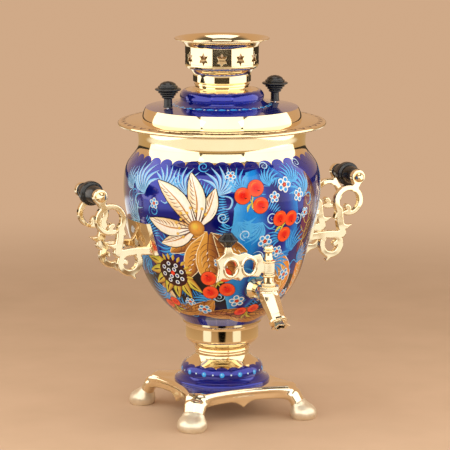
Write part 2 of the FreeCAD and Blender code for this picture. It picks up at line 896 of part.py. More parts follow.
def make_tank():
    outer = tank_outline()
    body = turned("tank", outer + lowered(outer, S.tank_wall))
    tap_hole = [("circle", 0, tap_height, S.shank_radius + S.shank_fit)]
    pocket(body, "XZ_Plane", tap_hole, reverse=True)
    bore = S.saddle_screw_radius + S.rod_fit
    screw_holes = [("circle", 0, height, bore) for height in saddle_screw_heights()]
    pocket(body, "YZ_Plane", screw_holes, both=True)
    kept("tank_shell", placed(body))
    floor = new_body("floor")
    bore = S.heater_thread_radius + S.heater_thread_fit
    holes = [("circle", side * S.heater_half_spacing, S.heater_offset, bore) for side in (-1, 1)]
    disc = ("circle", 0, 0, S.tank_base_radius)
    pad(floor, "XY_Plane", [disc, *holes], S.floor_thickness, cup_top)
    kept("tank_floor", placed(floor))
    edge_top = tank_top + S.rim_edge_thickness
    edge = S.mouth_radius + S.rim_overhang
    outline = [
        (rim_bore, tank_top),
        (rim_lip - S.rim_lip_wall, tank_top),
        (rim_lip - S.rim_lip_wall, tank_top - S.rim_lip_depth),
        (rim_lip, tank_top - S.rim_lip_depth),
        (rim_lip, tank_top),
        (edge - S.rim_roll_wall, tank_top),
        (edge - S.rim_roll_wall, edge_top - S.rim_roll),
        (edge, edge_top - S.rim_roll, S.rim_roll_bulge),
        (edge, edge_top),
        (rim_bore + S.rim_seat_width, rim_seat),
        (rim_bore, rim_seat),
    ]
    kept("rim_plate", placed(turned("rim", outline)))


def lid_slope_at(reach):
    """Height of the sloping top of the lid at a radius."""
    share = (reach - S.lid_flare_radius) / (band_radius - S.band_lean - S.lid_flare_radius)
    return between(lid_flare, lid_edge, share)


def make_lid():
    skirt = rim_bore - S.lid_fit
    skirt_inner = skirt - S.lid_skirt_wall
    spigot_top = crown_bottom + S.spigot_height
    spigot_inner = S.spigot_radius - S.lid_wall
    outline = [
        (skirt_inner, rim_seat - S.lid_skirt_depth),
        (skirt, rim_seat - S.lid_skirt_depth),
        (skirt, rim_seat),
        (band_radius, rim_seat),
        (band_radius, rim_seat + S.band_foot, S.band_bulge),
        (band_radius - S.band_lean, lid_edge),
        (S.lid_flare_radius, lid_flare, S.lid_cove_bulge),
        (S.lid_bead_radius, lid_bead, S.lid_bead_bulge),
        (S.boss_rim_radius + S.lid_bead_step, lid_bead_top),
        (S.boss_rim_radius, boss_rim, S.boss_bulge),
        (S.spigot_radius + S.boss_ledge, crown_bottom),
        (S.spigot_radius, crown_bottom),
        (S.spigot_radius, spigot_top),
        (S.vent_radius, spigot_top),
        (S.vent_radius, spigot_top - S.lid_wall),
        (spigot_inner, spigot_top - S.lid_wall),
        (spigot_inner, crown_bottom - S.lid_wall),
        (S.boss_rim_radius - 2 * S.lid_wall, boss_rim - 2 * S.lid_wall),
        (S.lid_bead_radius - 2 * S.lid_wall, lid_bead),
        (S.lid_flare_radius - S.lid_wall, lid_flare - S.lid_wall),
        (skirt_inner - S.band_lean, lid_edge - S.lid_wall),
        (skirt_inner, rim_seat + S.band_foot),
    ]
    body = turned("lid_shell", outline)
    boss_bottom = lid_slope_at(knob_offset + S.knob_seat_radius) - 2 * S.lid_wall
    knob_seat = lid_slope_at(knob_offset - S.knob_seat_radius) + S.knob_seat_rise
    seats = [("circle", side * knob_offset, 0, S.knob_seat_radius) for side in (-1, 1)]
    pad(body, "XY_Plane", seats, knob_seat - boss_bottom, boss_bottom)
    hole = S.knob_screw_radius + S.rod_fit
    holes = [("circle", side * knob_offset, 0, hole) for side in (-1, 1)]
    pocket(body, "XY_Plane", holes, knob_seat)
    kept("lid", placed(body))
    screws = []
    widest = S.knob_neck_height + S.knob_cone_rise
    rim_top = widest + S.knob_rim_height
    dome = rim_top + S.knob_shoulder_rise
    for label, side in (("left_lid_knob", -1), ("right_lid_knob", 1)):
        knob = turned(
            "lid_knob",
            [
                (0, S.knob_screw_reach),
                (hole, S.knob_screw_reach),
                (hole, 0),
                (S.knob_stem_radius, 0),
                (S.knob_stem_radius, S.knob_neck_height),
                (S.knob_skirt_radius, S.knob_neck_height),
                (S.knob_radius, widest),
                (S.knob_radius, rim_top),
                (S.knob_dome_radius, dome, S.knob_dome_bulge),
                (S.knob_top_radius, dome + S.knob_dome_rise),
                (0, dome + S.knob_dome_rise),
            ],
        )
        kept(label, placed(knob, side * knob_offset, 0, knob_seat))
        head = boss_bottom - S.knob_screw_head_height
        tip = knob_seat + S.knob_screw_reach - S.rod_fit
        screw = turned(
            "lid_knob_screw",
            [
                (0, head),
                (S.knob_screw_head_radius, head),
                (S.knob_screw_head_radius, boss_bottom),
                (S.knob_screw_radius, boss_bottom),
                (S.knob_screw_radius, tip),
                (0, tip),
            ],
        )
        screws.append(placed(screw, side * knob_offset))
    group("lid_knob_screws", screws)


def make_crown():
    foot = crown_sleeve + S.crown_foot_wall
    collar = crown_sleeve + S.collar_wall
    turn = S.crown_radius - S.crown_turn_inset
    flare = S.crown_radius + S.crown_flare_width
    lip = flare + S.crown_lip_width
    bead_bottom = crown_bottom + S.crown_foot_rise
    bead_top = bead_bottom + S.crown_bead_rise
    collar_bottom = bead_top + S.collar_step
    collar_top = collar_bottom + S.collar_rise
    turn_bottom = collar_top + S.crown_bowl_rise
    side_bottom = turn_bottom + S.crown_turn_rise
    side_top = side_bottom + S.crown_side_rise
    flare_top = side_top + S.crown_flare_rise
    lip_top = flare_top + S.crown_lip_rise
    wall = S.crown_wall
    outer = [
        (foot, crown_bottom),
        (foot, bead_bottom, S.crown_bead_bulge),
        (foot, bead_top),
        (collar, collar_bottom),
        (collar, collar_top),
        (turn, turn_bottom, S.crown_turn_bulge),
        (S.crown_radius, side_bottom),
        (S.crown_radius, side_top),
        (flare, flare_top, S.crown_flare_bulge),
        (lip, lip_top - wall),
        (lip, lip_top),
    ]
    inner = [
        (lip - wall, lip_top, -S.crown_flare_bulge),
        (flare - wall, flare_top + wall),
        (S.crown_radius - wall, side_top + wall),
        (S.crown_radius - wall, side_bottom, -S.crown_turn_bulge),
        (turn - wall, turn_bottom + wall),
        (crown_sleeve, collar_top + wall),
        (crown_sleeve, crown_bottom),
    ]
    body = turned("crown_cup", outer + inner)
    star = []
    star_middle = between(side_bottom, side_top, HALF) - S.star_drop
    for step in range(2 * HEX_SIDES):
        angle = math.radians(QUARTER_TURN + FULL_TURN * step / (2 * HEX_SIDES))
        share = HALF * (S.star_depth_share if step % 2 else size_of(1))
        across = S.star_width * share * math.cos(angle) / math.cos(math.pi / HEX_SIDES)
        star.append((across, star_middle + S.star_length * share * math.sin(angle)))
    ring_of(body, pocket(body, "XZ_Plane", [star]), S.star_count)
    kept("crown", placed(body, angle=S.crown_turn))


def bracket_body(name):
    """Flat pierced scroll in the plane of the handle."""
    body = new_body(name)
    half_strap = S.strap_width * HALF
    half_eye = S.eye_radius * HALF
    bar_inner = S.scroll_radius - S.scroll_band
    thickness = S.bracket_thickness
    bore = ("circle", eye_reach, eye_height, S.rod_radius + S.rod_fit)
    eye = ("circle", eye_reach, eye_height, S.eye_radius)
    scroll_reach = handle_wall + S.scroll_overhang
    scroll_height = saddle_middle + S.scroll_rise
    scroll = [
        ("circle", scroll_reach, scroll_height, S.scroll_radius),
        ("circle", scroll_reach, scroll_height, bar_inner),
    ]
    neck = [
        (eye_reach - half_eye, eye_height - half_eye),
        (scroll_reach + half_strap * HALF, scroll_height + bar_inner),
        (scroll_reach + bar_inner, scroll_height + bar_inner * HALF),
        (eye_reach + half_eye, eye_height - half_eye),
    ]
    strap_reach = handle_wall + S.strap_overhang
    strap_foot = saddle_middle - S.strap_drop - half_strap
    spike = saddle_middle - S.spike_drop
    strap = [
        (scroll_reach - S.scroll_radius, scroll_height - bar_inner * HALF),
        (strap_reach - half_strap, strap_foot),
        (strap_reach + half_strap, strap_foot),
        (strap_reach + half_strap, spike - half_strap),
        (strap_reach + S.spike_length, spike),
        (strap_reach + half_strap, spike + half_strap),
        (scroll_reach - bar_inner * HALF, scroll_height - bar_inner),
    ]
    loop_reach = handle_wall + S.loop_overhang
    loop_height = saddle_middle - S.loop_drop
    loop_outer = S.loop_hole_radius + S.loop_band
    loop_right = larger(loop_reach + loop_outer, strap_reach + half_strap)
    arm_root = handle_wall - S.arm_root_depth
    arm_top = saddle_middle - S.arm_drop + S.arm_depth * HALF
    arm_bottom = arm_top - S.arm_depth
    loop = [
        (arm_root, arm_top),
        (arm_root, arm_bottom),
        (loop_reach - loop_outer, arm_bottom - half_strap),
        (loop_reach - loop_outer * HALF, loop_height - S.loop_tip),
        (loop_reach, loop_height - loop_outer, QUARTER_ROUND),
        (loop_right, loop_height),
        (loop_right, arm_top),
    ]
    hole = ("circle", loop_reach, loop_height, S.loop_hole_radius)
    pad(body, "XZ_Plane", scroll, thickness, both=True)
    pad(body, "XZ_Plane", [neck], thickness, both=True)
    pad(body, "XZ_Plane", [eye], thickness, both=True)
    pocket(body, "XZ_Plane", [bore], both=True)
    pad(body, "XZ_Plane", [strap], thickness, both=True)
    pad(body, "XZ_Plane", [loop, hole], thickness, both=True)
    return body


def make_saddle(side, sign, plate, inside, screws, nuts):
    """Curved plate between the brackets of one side, with its screws and the nuts inside the tank."""
    block = new_body("saddle_block")
    half_width = S.handle_spread + S.bracket_thickness * HALF + S.saddle_side
    bottom = saddle_middle - S.saddle_height * HALF
    top = saddle_middle + S.saddle_height * HALF
    window = [(-half_width, bottom), (half_width, bottom), (half_width, top), (-half_width, top)]
    pad(block, "YZ_Plane", [window], eye_reach)
    bore = S.saddle_screw_radius + S.rod_fit
    for height in saddle_screw_heights():
        seat = flank_at(height) + S.saddle_thickness - S.saddle_seat_sink
        spotface = [("circle", 0, height, S.saddle_head_radius + S.rod_fit)]
        pocket(block, "YZ_Plane", spotface, seat, reverse=True)
        pocket(block, "YZ_Plane", [("circle", 0, height, bore)], reverse=True)
        outward = dict(z=height, axis=(0, 1, 0), angle=sign * QUARTER_TURN)
        inner_end = flank_at(height) - S.tank_wall - 2 * S.saddle_nut_height
        screw = turned(
            "saddle_screw",
            [
                (0, inner_end),
                (S.saddle_screw_radius, inner_end),
                (S.saddle_screw_radius, seat),
                (S.saddle_head_radius, seat),
                (S.saddle_head_radius, seat + S.saddle_head_height),
                (0, seat + S.saddle_head_height),
            ],
        )
        screws.append(placed(screw, **outward))
        nut_start = inner_end + S.saddle_nut_height * HALF
        blank = nut("saddle_nut_blank", bore, S.saddle_nut_radius, nut_start, S.flank_radius)
        nuts.append(common("saddle_nut", placed(blank, **outward), inside))
    saddle = common("saddle", block, plate)
    kept(f"{side}_saddle", placed(saddle, angle=turn_of(sign)))


def turn_of(sign):
    """Turn that brings a piece of the right side to the side of that sign."""
    return (1 - sign) * QUARTER_TURN


def make_grip(side, sign):
    """Turned grip on its rod, with a ball nut on either end."""
    face = S.handle_spread - S.bracket_thickness * HALF
    outer_face = S.handle_spread + S.bracket_thickness * HALF
    bore = S.rod_radius + S.rod_fit
    half_flange = S.grip_flange_width * HALF
    grip = turned(
        "grip",
        [
            (bore, -face),
            (S.grip_end_radius, -face),
            (S.grip_barrel_radius, -half_flange - S.grip_step),
            (S.grip_flange_radius, -half_flange),
            (S.grip_flange_radius, half_flange),
            (S.grip_barrel_radius, half_flange + S.grip_step),
            (S.grip_end_radius, face),
            (bore, face),
        ],
    )
    along_handle = dict(x=sign * eye_reach, z=eye_height, axis=(1, 0, 0))
    kept(f"{side}_grip", placed(grip, **along_handle, angle=-QUARTER_TURN))
    rod_end = outer_face + S.rod_overhang
    grip_rod = rod("grip_rod", S.rod_radius, -rod_end, rod_end)
    kept(f"{side}_grip_rod", placed(grip_rod, **along_handle, angle=-QUARTER_TURN))
    caps = []
    for angle in (-QUARTER_TURN, QUARTER_TURN):
        cap = turned(
            "grip_cap",
            [
                (bore, outer_face),
                (S.cap_radius, outer_face, S.cap_bulge),
                (S.cap_tip_radius, outer_face + S.cap_length),
                (0, outer_face + S.cap_length),
                (0, rod_end + S.rod_fit),
                (bore, rod_end + S.rod_fit),
            ],
        )
        caps.append(placed(cap, **along_handle, angle=angle))
    group(f"{side}_grip_caps", caps)


def make_handles():
    envelope = solid_tank("tank_envelope", 0)
    saddle_envelope = solid_tank("saddle_envelope", S.saddle_thickness)
    inside = solid_tank("tank_inside", -S.tank_wall)
    plate = cut("saddle_plate", saddle_envelope, envelope)
    screws = []
    nuts = []
    for side, sign in (("right", 1), ("left", -1)):
        make_saddle(side, sign, plate, inside, screws, nuts)
        for end, across in (("front", -1), ("rear", 1)):
            blank = placed(bracket_body("bracket_blank"), y=S.handle_spread * across * sign)
            bracket = cut("bracket", blank, saddle_envelope)
            kept(f"{side}_{end}_bracket", placed(bracket, angle=turn_of(sign)))
        make_grip(side, sign)
    group("saddle_screws", screws)
    group("saddle_nuts", nuts)
    return envelope, inside


def make_tap(envelope, inside):
    bore = S.shank_radius + S.shank_fit
    along_tap = dict(z=tap_height, axis=(1, 0, 0), angle=QUARTER_TURN)
    rosette_root = tap_wall - S.rosette_root_depth
    rosette_face = tap_wall + S.rosette_overhang
    rosette = turned(
        "rosette",
        [
            (bore, rosette_root),
            (S.rosette_radius, rosette_root),
            (S.rosette_radius, rosette_face - S.rosette_chamfer),
            (S.rosette_face_radius, rosette_face),
            (bore, rosette_face),
        ],
    )
    kept("tap_escutcheon", placed(cut("escutcheon", placed(rosette, **along_tap), envelope)))
    gasket_back = tap_wall - S.gasket_depth
    blank = ring("gasket_blank", bore, S.gasket_radius, gasket_back, tap_reach)
    kept("tap_gasket", placed(common("gasket", placed(blank, **along_tap), inside)))
    nut_back = gasket_back - S.locknut_thickness
    locknut = nut("locknut", bore, S.locknut_radius, nut_back, S.locknut_thickness)
    kept("tap_locknut", placed(locknut, **along_tap))
    at_plug = dict(y=-tap_reach)
    collar = barrel_top - S.barrel_collar_height
    plug_room = plug_bottom - S.plug_end_gap
    barrel_bottom = plug_room - S.barrel_floor
    barrel = turned(
        "barrel",
        [
            (0, barrel_bottom),
            (S.barrel_foot_radius, barrel_bottom),
            (S.barrel_radius, barrel_bottom + S.barrel_foot_height),
            (S.barrel_radius, collar),
            (S.barrel_collar_radius, collar),
            (S.barrel_collar_radius, barrel_top),
            (0, barrel_top),
        ],
    )
    shank_end = tap_wall - S.shank_end_depth
    shank = rod("shank", S.shank_radius, shank_end, tap_reach)
    neck = S.spout_neck_length
    ring_end = neck + S.spout_ring_length
    mouth = ring_end + S.spout_lip_length
    spout = turned(
        "spout",
        [
            (0, 0),
            (S.spout_root_radius, 0),
            (S.spout_neck_radius, neck),
            (S.spout_ring_radius, neck),
            (S.spout_ring_radius, ring_end),
            (S.spout_neck_radius, ring_end),
            (S.spout_mouth_radius, mouth),
            (0, mouth),
        ],
    )
    down_spout = dict(at_plug, z=tap_height, axis=(1, 0, 0), angle=QUARTER_TURN + S.spout_tilt)
    casting = fuse("casting", placed(barrel, **at_plug), placed(shank, **along_tap))
    casting = fuse("casting_with_spout", casting, placed(spout, **down_spout))
    taper = (S.plug_top_radius - S.plug_bottom_radius) / (barrel_top - plug_bottom)
    gap = S.plug_clearance
    plug_hole = turned(
        "plug_hole",
        [
            (0, plug_room),
            (S.plug_bottom_radius + gap - taper * S.plug_end_gap, plug_room),
            (S.plug_top_radius + gap, barrel_top),
            (0, barrel_top),
        ],
    )
    shank_way = rod("shank_way", S.water_radius, shank_end, tap_reach)
    spout_way = rod("spout_way", S.spout_bore_radius, 0, mouth)
    ways = fuse("ways", placed(plug_hole, **at_plug), placed(shank_way, **along_tap))
    ways = fuse("all_ways", ways, placed(spout_way, **down_spout))
    kept("tap_body", placed(cut("tap_casting", casting, ways)))


def make_key():
    at_plug = dict(y=-tap_reach)
    stem_top = barrel_top + S.stem_rise
    bead = stem_top + S.stem_bead_height
    hub_top = bead + S.hub_height
    ring_top = hub_top + S.finial_ring_height
    groove = ring_top + S.finial_neck_rise
    groove_top = groove + S.finial_groove_width
    finial_top = groove_top + S.finial_cap_rise
    plug = turned(
        "plug",
        [
            (0, plug_bottom),
            (S.plug_bottom_radius, plug_bottom),
            (S.plug_top_radius, barrel_top),
            (S.stem_radius, barrel_top + S.plug_end_gap),
            (S.stem_radius, stem_top, S.finial_bulge),
            (S.stem_radius, bead),
            (S.hub_seat_radius, bead),
            (S.hub_seat_radius, hub_top),
            (S.finial_ring_radius, hub_top),
            (S.finial_ring_radius, ring_top),
            (S.finial_radius, ring_top),
            (S.finial_groove_radius, groove),
            (S.finial_radius, groove_top, S.finial_bulge),
            (S.finial_groove_radius, finial_top),
            (0, finial_top),
        ],
    )
    water = [("circle", 0, tap_height, S.water_radius)]
    pocket(plug, "YZ_Plane", water, both=True)
    kept("tap_plug", placed(plug, **at_plug))
    key = new_body("key")
    seat = S.hub_seat_radius + S.hub_fit
    hub = [("circle", 0, 0, seat + S.hub_wall), ("circle", 0, 0, seat)]
    pad(key, "XY_Plane", hub, hub_top - bead, bead)
    middle = bead + S.key_rise
    lobe = S.key_lobe_radius
    root = seat + S.hub_wall * HALF
    near_edge = seat + S.hub_wall + S.key_neck
    near_hole = near_edge + lobe
    far_hole = near_hole + S.key_hole_pitch
    waist = between(near_hole, far_hole, HALF)
    post_reach = far_hole + S.post_shift
    tip = far_hole + S.key_tip_length
    knob_bottom = middle + lobe + S.tap_knob_rise
    outline = [
        (-root, bead + S.hub_wall),
        (-root, hub_top - S.hub_wall),
        (-near_edge, middle + lobe),
        (-near_hole, middle + lobe - S.hub_wall),
        (-waist, middle + lobe + S.hub_wall),
        (-(post_reach - 2 * S.post_radius), middle + lobe),
        (-(post_reach - S.post_radius), knob_bottom),
        (-(post_reach + S.post_radius), knob_bottom),
        (-(post_reach + 2 * S.post_radius), middle + lobe),
        (-tip, middle + S.key_tip_rise),
        (-(tip - S.post_radius), middle),
        (-tip, middle - S.key_tip_drop),
        (-far_hole, middle - lobe),
        (-waist, middle - S.key_tip_drop),
        (-near_hole, middle - lobe + S.hub_wall),
        (-near_edge, middle - lobe),
    ]
    holes = [("circle", -reach, middle, S.key_hole_radius) for reach in (near_hole, far_hole)]
    pad(key, "XZ_Plane", [outline, *holes], S.key_thickness, both=True)
    post_top = knob_bottom + S.post_engagement
    post = rod("post", S.post_radius, knob_bottom - S.hub_wall, post_top)
    placed(post, x=-post_reach, **at_plug)
    kept("tap_handle", placed(fuse("key_and_post", placed(key, **at_plug), post)))
    top = knob_bottom + S.tap_knob_height
    widest = between(knob_bottom, top, HALF)
    knob = turned(
        "tap_knob_turning",
        [
            (S.post_radius + S.hub_fit, knob_bottom),
            (S.tap_knob_end_radius, knob_bottom),
            (S.tap_knob_radius, widest - S.tap_knob_edge * HALF),
            (S.tap_knob_radius, widest + S.tap_knob_edge * HALF),
            (S.tap_knob_end_radius, top),
            (0, top),
            (0, post_top + S.hub_fit),
            (S.post_radius + S.hub_fit, post_top + S.hub_fit),
        ],
    )
    kept("tap_knob", placed(knob, x=-post_reach, **at_plug))


def make_heater():
    half = S.heater_half_spacing
    collar_bottom = tank_bottom + S.heater_gasket_thickness
    collar_top = collar_bottom + S.heater_collar_height
    thread_end = cup_top - S.heater_thread_drop
    pin_end = thread_end - S.heater_pin_length
    level = collar_top + S.heater_rise
    back = S.heater_offset + S.heater_loop_depth
    wide = S.heater_loop_half_width
    route = [
        (-half, S.heater_offset, collar_top),
        (-half, S.heater_offset, level),
        (-wide, S.heater_offset, level),
        (-wide, back, level),
        (wide, back, level),
        (wide, S.heater_offset, level),
        (half, S.heater_offset, level),
        (half, S.heater_offset, collar_top),
    ]
    element = doc.addObject("Part::Feature", "heater_tube")
    element.Shape = tube_along(route, float(S.heater_bend), float(S.heater_radius))
    gaskets = []
    nuts = []
    bore = S.heater_thread_radius + S.heater_thread_fit
    for side in (-1, 1):
        spot = dict(x=side * half, y=S.heater_offset)
        end = turned(
            "heater_end",
            [
                (0, pin_end),
                (S.heater_pin_radius, pin_end),
                (S.heater_pin_radius, thread_end),
                (S.heater_thread_radius, thread_end),
                (S.heater_thread_radius, collar_bottom),
                (S.heater_collar_radius, collar_bottom),
                (S.heater_collar_radius, collar_top),
                (0, collar_top),
            ],
        )
        element = fuse("heater_join", element, placed(end, **spot))
        gasket = ring("heater_gasket", bore, S.heater_collar_radius, tank_bottom, collar_bottom)
        gaskets.append(placed(gasket, **spot))
        low = cup_top - S.heater_nut_height
        heater_nut = nut("heater_nut", bore, S.heater_nut_radius, low, S.heater_nut_height)
        nuts.append(placed(heater_nut, **spot))
    kept("heating_element", placed(element))
    group("heater_gaskets", gaskets)
    group("heater_nuts", nuts)
    cutout = rod("cutout", S.cutout_radius, cup_top - S.cutout_height, cup_top)
    kept("thermal_cutout", placed(cutout, y=S.cutout_offset))
    earth = rod("earth", S.earth_screw_radius, cup_top - S.earth_screw_height, cup_top)
    kept("earth_screw", placed(earth, y=S.earth_screw_offset))
    return pin_end


def make_inlet(cup_envelope, heater_pin_end):
    to_back = dict(z=inlet_height, axis=(1, 0, 0), angle=-QUARTER_TURN)
    outer = S.inlet_bore_radius + S.inlet_shell_wall
    root = cup_radius - S.inlet_root_depth
    blank = ring("inlet_tube", S.inlet_bore_radius, outer, root, cup_radius + S.inlet_overhang)
    kept("inlet_shell", placed(cut("inlet_seat", placed(blank, **to_back), cup_envelope)))
    insert_back = cup_radius - S.insert_back_depth
    flange = cup_radius + S.insert_flange_overhang
    flange_front = flange + S.insert_flange_thickness
    insert = turned(
        "insert",
        [
            (0, insert_back),
            (insert_radius, insert_back),
            (insert_radius, flange),
            (S.inlet_bore_radius - S.insert_fit, flange),
            (S.inlet_bore_radius - S.insert_fit, flange_front),
            (0, flange_front),
        ],
    )
    half = S.pin_half_spacing
    spots = [(-half, S.pin_drop), (half, S.pin_drop), (ORIGIN, -S.earth_pin_rise)]
    holes = [("circle", x, y, S.pin_radius + S.insert_fit) for x, y in spots]
    pocket(insert, "XY_Plane", holes, flange_front)
    kept("inlet_insert", placed(insert, **to_back))
    pins = []
    back = cup_radius - S.pin_back_depth
    for x, y in spots:
        pin = rod("inlet_pin", S.pin_radius, back, cup_radius + S.pin_front_overhang)
        place = dict(to_back, x=x, z=inlet_height - y)
        pins.append(placed(pin, **place))
    group("inlet_pins", pins[:2])
    kept("earth_pin", pins[2])
    low = inlet_height - S.pin_drop
    below = heater_pin_end - S.lead_drop
    cutout_face = cup_top - S.cutout_height
    far = S.heater_half_spacing
    routes = {
        "live_lead": [
            (-half, back, low),
            (-half, S.cutout_offset, low),
            (-half, S.cutout_offset, cutout_face),
        ],
        "neutral_lead": [
            (half, back, low),
            (half, S.cutout_offset + S.cutout_radius, low),
            (far - S.lead_bend, S.cutout_offset + S.lead_bend, below),
            (far, S.heater_offset, below),
            (far, S.heater_offset, heater_pin_end),
        ],
        "bridge_lead": [
            (0, S.cutout_offset - half, cutout_face),
            (0, S.cutout_offset - half, below),
            (-far, S.heater_offset, below),
            (-far, S.heater_offset, heater_pin_end),
        ],
        "earth_lead": [
            (0, back, inlet_height + S.earth_pin_rise),
            (0, S.earth_screw_offset, inlet_height + S.earth_pin_rise),
            (0, S.earth_screw_offset, cup_top - S.earth_screw_height),
        ],
    }
    for label, route in routes.items():
        lead = doc.addObject("Part::Feature", label)
        lead.Shape = tube_along(route, float(S.lead_bend), float(S.lead_radius))
        kept(label, placed(lead))


make_stand()
make_stand_fittings()
make_pedestal()
cup_envelope = make_cup()
make_tank()
make_lid()
make_crown()
make_tap(*make_handles())
make_key()
make_inlet(cup_envelope, make_heater())
doc.recompute()

for item in doc.Objects:
    if "Invalid" in item.State or "Error" in item.State:
        raise RuntimeError(f"{item.Name} did not build: {item.State}")
for label, item in parts.items():
    if item.Shape.isNull() or not item.Shape.isValid():
        raise RuntimeError(f"{label} has no valid shape")

os.makedirs("parts", exist_ok=True)
for label, item in parts.items():
    item.Shape.exportStep(f"parts/{label}.step")
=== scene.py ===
import json
import math

import bmesh
import bpy
import numpy as np
from mathutils import Matrix, Vector


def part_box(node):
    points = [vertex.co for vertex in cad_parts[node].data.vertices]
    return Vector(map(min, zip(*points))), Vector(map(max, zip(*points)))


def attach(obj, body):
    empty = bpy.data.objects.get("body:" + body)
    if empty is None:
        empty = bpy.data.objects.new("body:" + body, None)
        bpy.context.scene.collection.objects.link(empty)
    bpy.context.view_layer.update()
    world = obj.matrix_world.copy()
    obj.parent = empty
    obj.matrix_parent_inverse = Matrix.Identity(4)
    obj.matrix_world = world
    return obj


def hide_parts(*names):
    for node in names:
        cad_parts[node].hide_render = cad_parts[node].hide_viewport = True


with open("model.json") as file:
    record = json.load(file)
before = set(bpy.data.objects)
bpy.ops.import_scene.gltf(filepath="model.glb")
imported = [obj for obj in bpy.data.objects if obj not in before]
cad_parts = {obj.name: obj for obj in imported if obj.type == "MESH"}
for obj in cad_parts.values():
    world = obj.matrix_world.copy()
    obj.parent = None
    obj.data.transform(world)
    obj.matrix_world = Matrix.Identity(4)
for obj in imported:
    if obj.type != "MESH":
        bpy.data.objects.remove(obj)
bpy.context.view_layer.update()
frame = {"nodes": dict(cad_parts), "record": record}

MM = 0.001
FULL_TURN = 2 * math.pi
FIXED = "stand_and_tank"
KEY = "tap_key"
LID = "lid_set"
CROWN = "crown_set"

# direction of the camera around the axis, and the sides of the turned pieces
VIEW_AZIMUTH = -25.0
FACING = math.radians(VIEW_AZIMUTH - 90.0)
SEGMENTS = 288

# paints, in linear light
DEEP = (0.005, 0.006, 0.14)
ULTRA = (0.012, 0.02, 0.30)
AZURE = (0.008, 0.24, 0.74)
SKY = (0.07, 0.42, 0.86)
ICE = (0.50, 0.74, 0.96)
WHITE = (0.97, 0.95, 0.88)
CREAM = (0.93, 0.80, 0.48)
GOLD = (0.72, 0.36, 0.06)
OCHRE = (0.42, 0.16, 0.025)
ORANGE = (0.83, 0.25, 0.02)
RED = (0.74, 0.012, 0.006)
SCARLET = (0.93, 0.085, 0.02)
LEAF = (0.46, 0.50, 0.05)
LEMON = (0.80, 0.66, 0.09)
MAROON = (0.055, 0.005, 0.006)
BROWN = (0.16, 0.045, 0.02)
PLUM = (0.16, 0.03, 0.085)
BLACK = (0.004, 0.004, 0.007)


def base_of(node):
    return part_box(node)[0].z / MM


def top_of(node):
    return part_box(node)[1].z / MM


def polar(length, angle):
    return length * math.cos(math.radians(angle)), length * math.sin(math.radians(angle))


# materials


DARK_STOP = 0.3
LIGHT_STOP = 0.7
COLOUR_MIX_INPUTS = (0, 6, 7)
COLOUR_MIX_OUTPUT = 2


class Recipe:
    """Shader nodes of a material or a world, with short ways to add and join them."""

    def __init__(self, owner):
        owner.use_nodes = True
        self.owner = owner
        self.tree = owner.node_tree
        self.shader = self.tree.nodes.get("Principled BSDF")

    def node(self, kind, **settings):
        made = self.tree.nodes.new(kind)
        for key, value in settings.items():
            if key in made.inputs:
                made.inputs[key].default_value = value
            else:
                setattr(made, key, value)
        return made

    def join(self, source, target):
        self.tree.links.new(source, target)

    def feed(self, source, target):
        """Join an output to an input, or set the input to a value."""
        if isinstance(source, bpy.types.NodeSocket):
            self.join(source, target)
        else:
            target.default_value = source

    def set(self, **sources):
        """Feed the inputs of the main shader."""
        for key, source in sources.items():
            self.feed(source, self.shader.inputs[key.replace("_", " ")])

    def place(self, kind="Object"):
        return self.node("ShaderNodeTexCoord").outputs[kind]

    def noise(self, scale, detail, stretch=(1, 1, 1)):
        mapping = self.node("ShaderNodeMapping", Scale=stretch)
        self.join(self.place(), mapping.inputs["Vector"])
        made = self.node("ShaderNodeTexNoise", Scale=scale, Detail=detail)
        self.join(mapping.outputs["Vector"], made.inputs["Vector"])
        return made.outputs["Fac"]

    def ramp(self, source, *stops):
        made = self.node("ShaderNodeValToRGB")
        points = made.color_ramp.elements
        while len(points) < len(stops):
            points.new(0.5)
        for point, (place, colour) in zip(points, stops):
            point.position = place
            point.color = (*colour, 1)
        self.join(source, made.inputs["Fac"])
        return made.outputs["Color"]

    def tones(self, source, dark, light):
        return self.ramp(source, (DARK_STOP, dark), (LIGHT_STOP, light))

    def mapped(self, source, start=(0, 1), finish=(0, 1), kind="LINEAR"):
        """Carry a source from one range of values to another."""
        made = self.node("ShaderNodeMapRange", interpolation_type=kind)
        for name, value in zip(("From Min", "From Max", "To Min", "To Max"), (*start, *finish)):
            made.inputs[name].default_value = value
        self.join(source, made.inputs["Value"])
        return made.outputs["Result"]

    def mixed_colours(self, share, one, two, kind="MIX"):
        mix = self.node("ShaderNodeMix", data_type="RGBA", blend_type=kind)
        for number, source in zip(COLOUR_MIX_INPUTS, (share, one, two)):
            self.feed(source, mix.inputs[number])
        return mix.outputs[COLOUR_MIX_OUTPUT]

    def mixed(self, share, one, two):
        mix = self.node("ShaderNodeMixShader")
        for source, target in zip((share, one, two), mix.inputs):
            self.join(source, target)
        return mix.outputs["Shader"]

    def bump(self, source, strength, distance):
        made = self.node("ShaderNodeBump", Strength=strength, Distance=distance)
        self.join(source, made.inputs["Height"])
        self.set(Normal=made.outputs["Normal"])


GRAIN_SHARE = 0.003


def brass(name, light, dark, polish, grain, waves):
    """Brass with drifting tone, uneven polish, a fine grain and slow waves in its surface."""
    recipe = Recipe(bpy.data.materials.new(name))
    stretch = (1, 1, grain)
    recipe.set(Metallic=1.0, Base_Color=recipe.tones(recipe.noise(scale=22.0, detail=5.0), dark, light))
    recipe.set(Roughness=recipe.mapped(recipe.noise(160.0, 6.0, stretch), finish=polish))
    relief = recipe.node("ShaderNodeMath", operation="MULTIPLY_ADD")
    heights = (recipe.noise(900.0, 3.0, stretch), GRAIN_SHARE, recipe.noise(scale=42.0, detail=1.0))
    for source, target in zip(heights, relief.inputs):
        recipe.feed(source, target)
    recipe.bump(relief.outputs["Value"], waves, distance=0.001)
    return recipe.owner


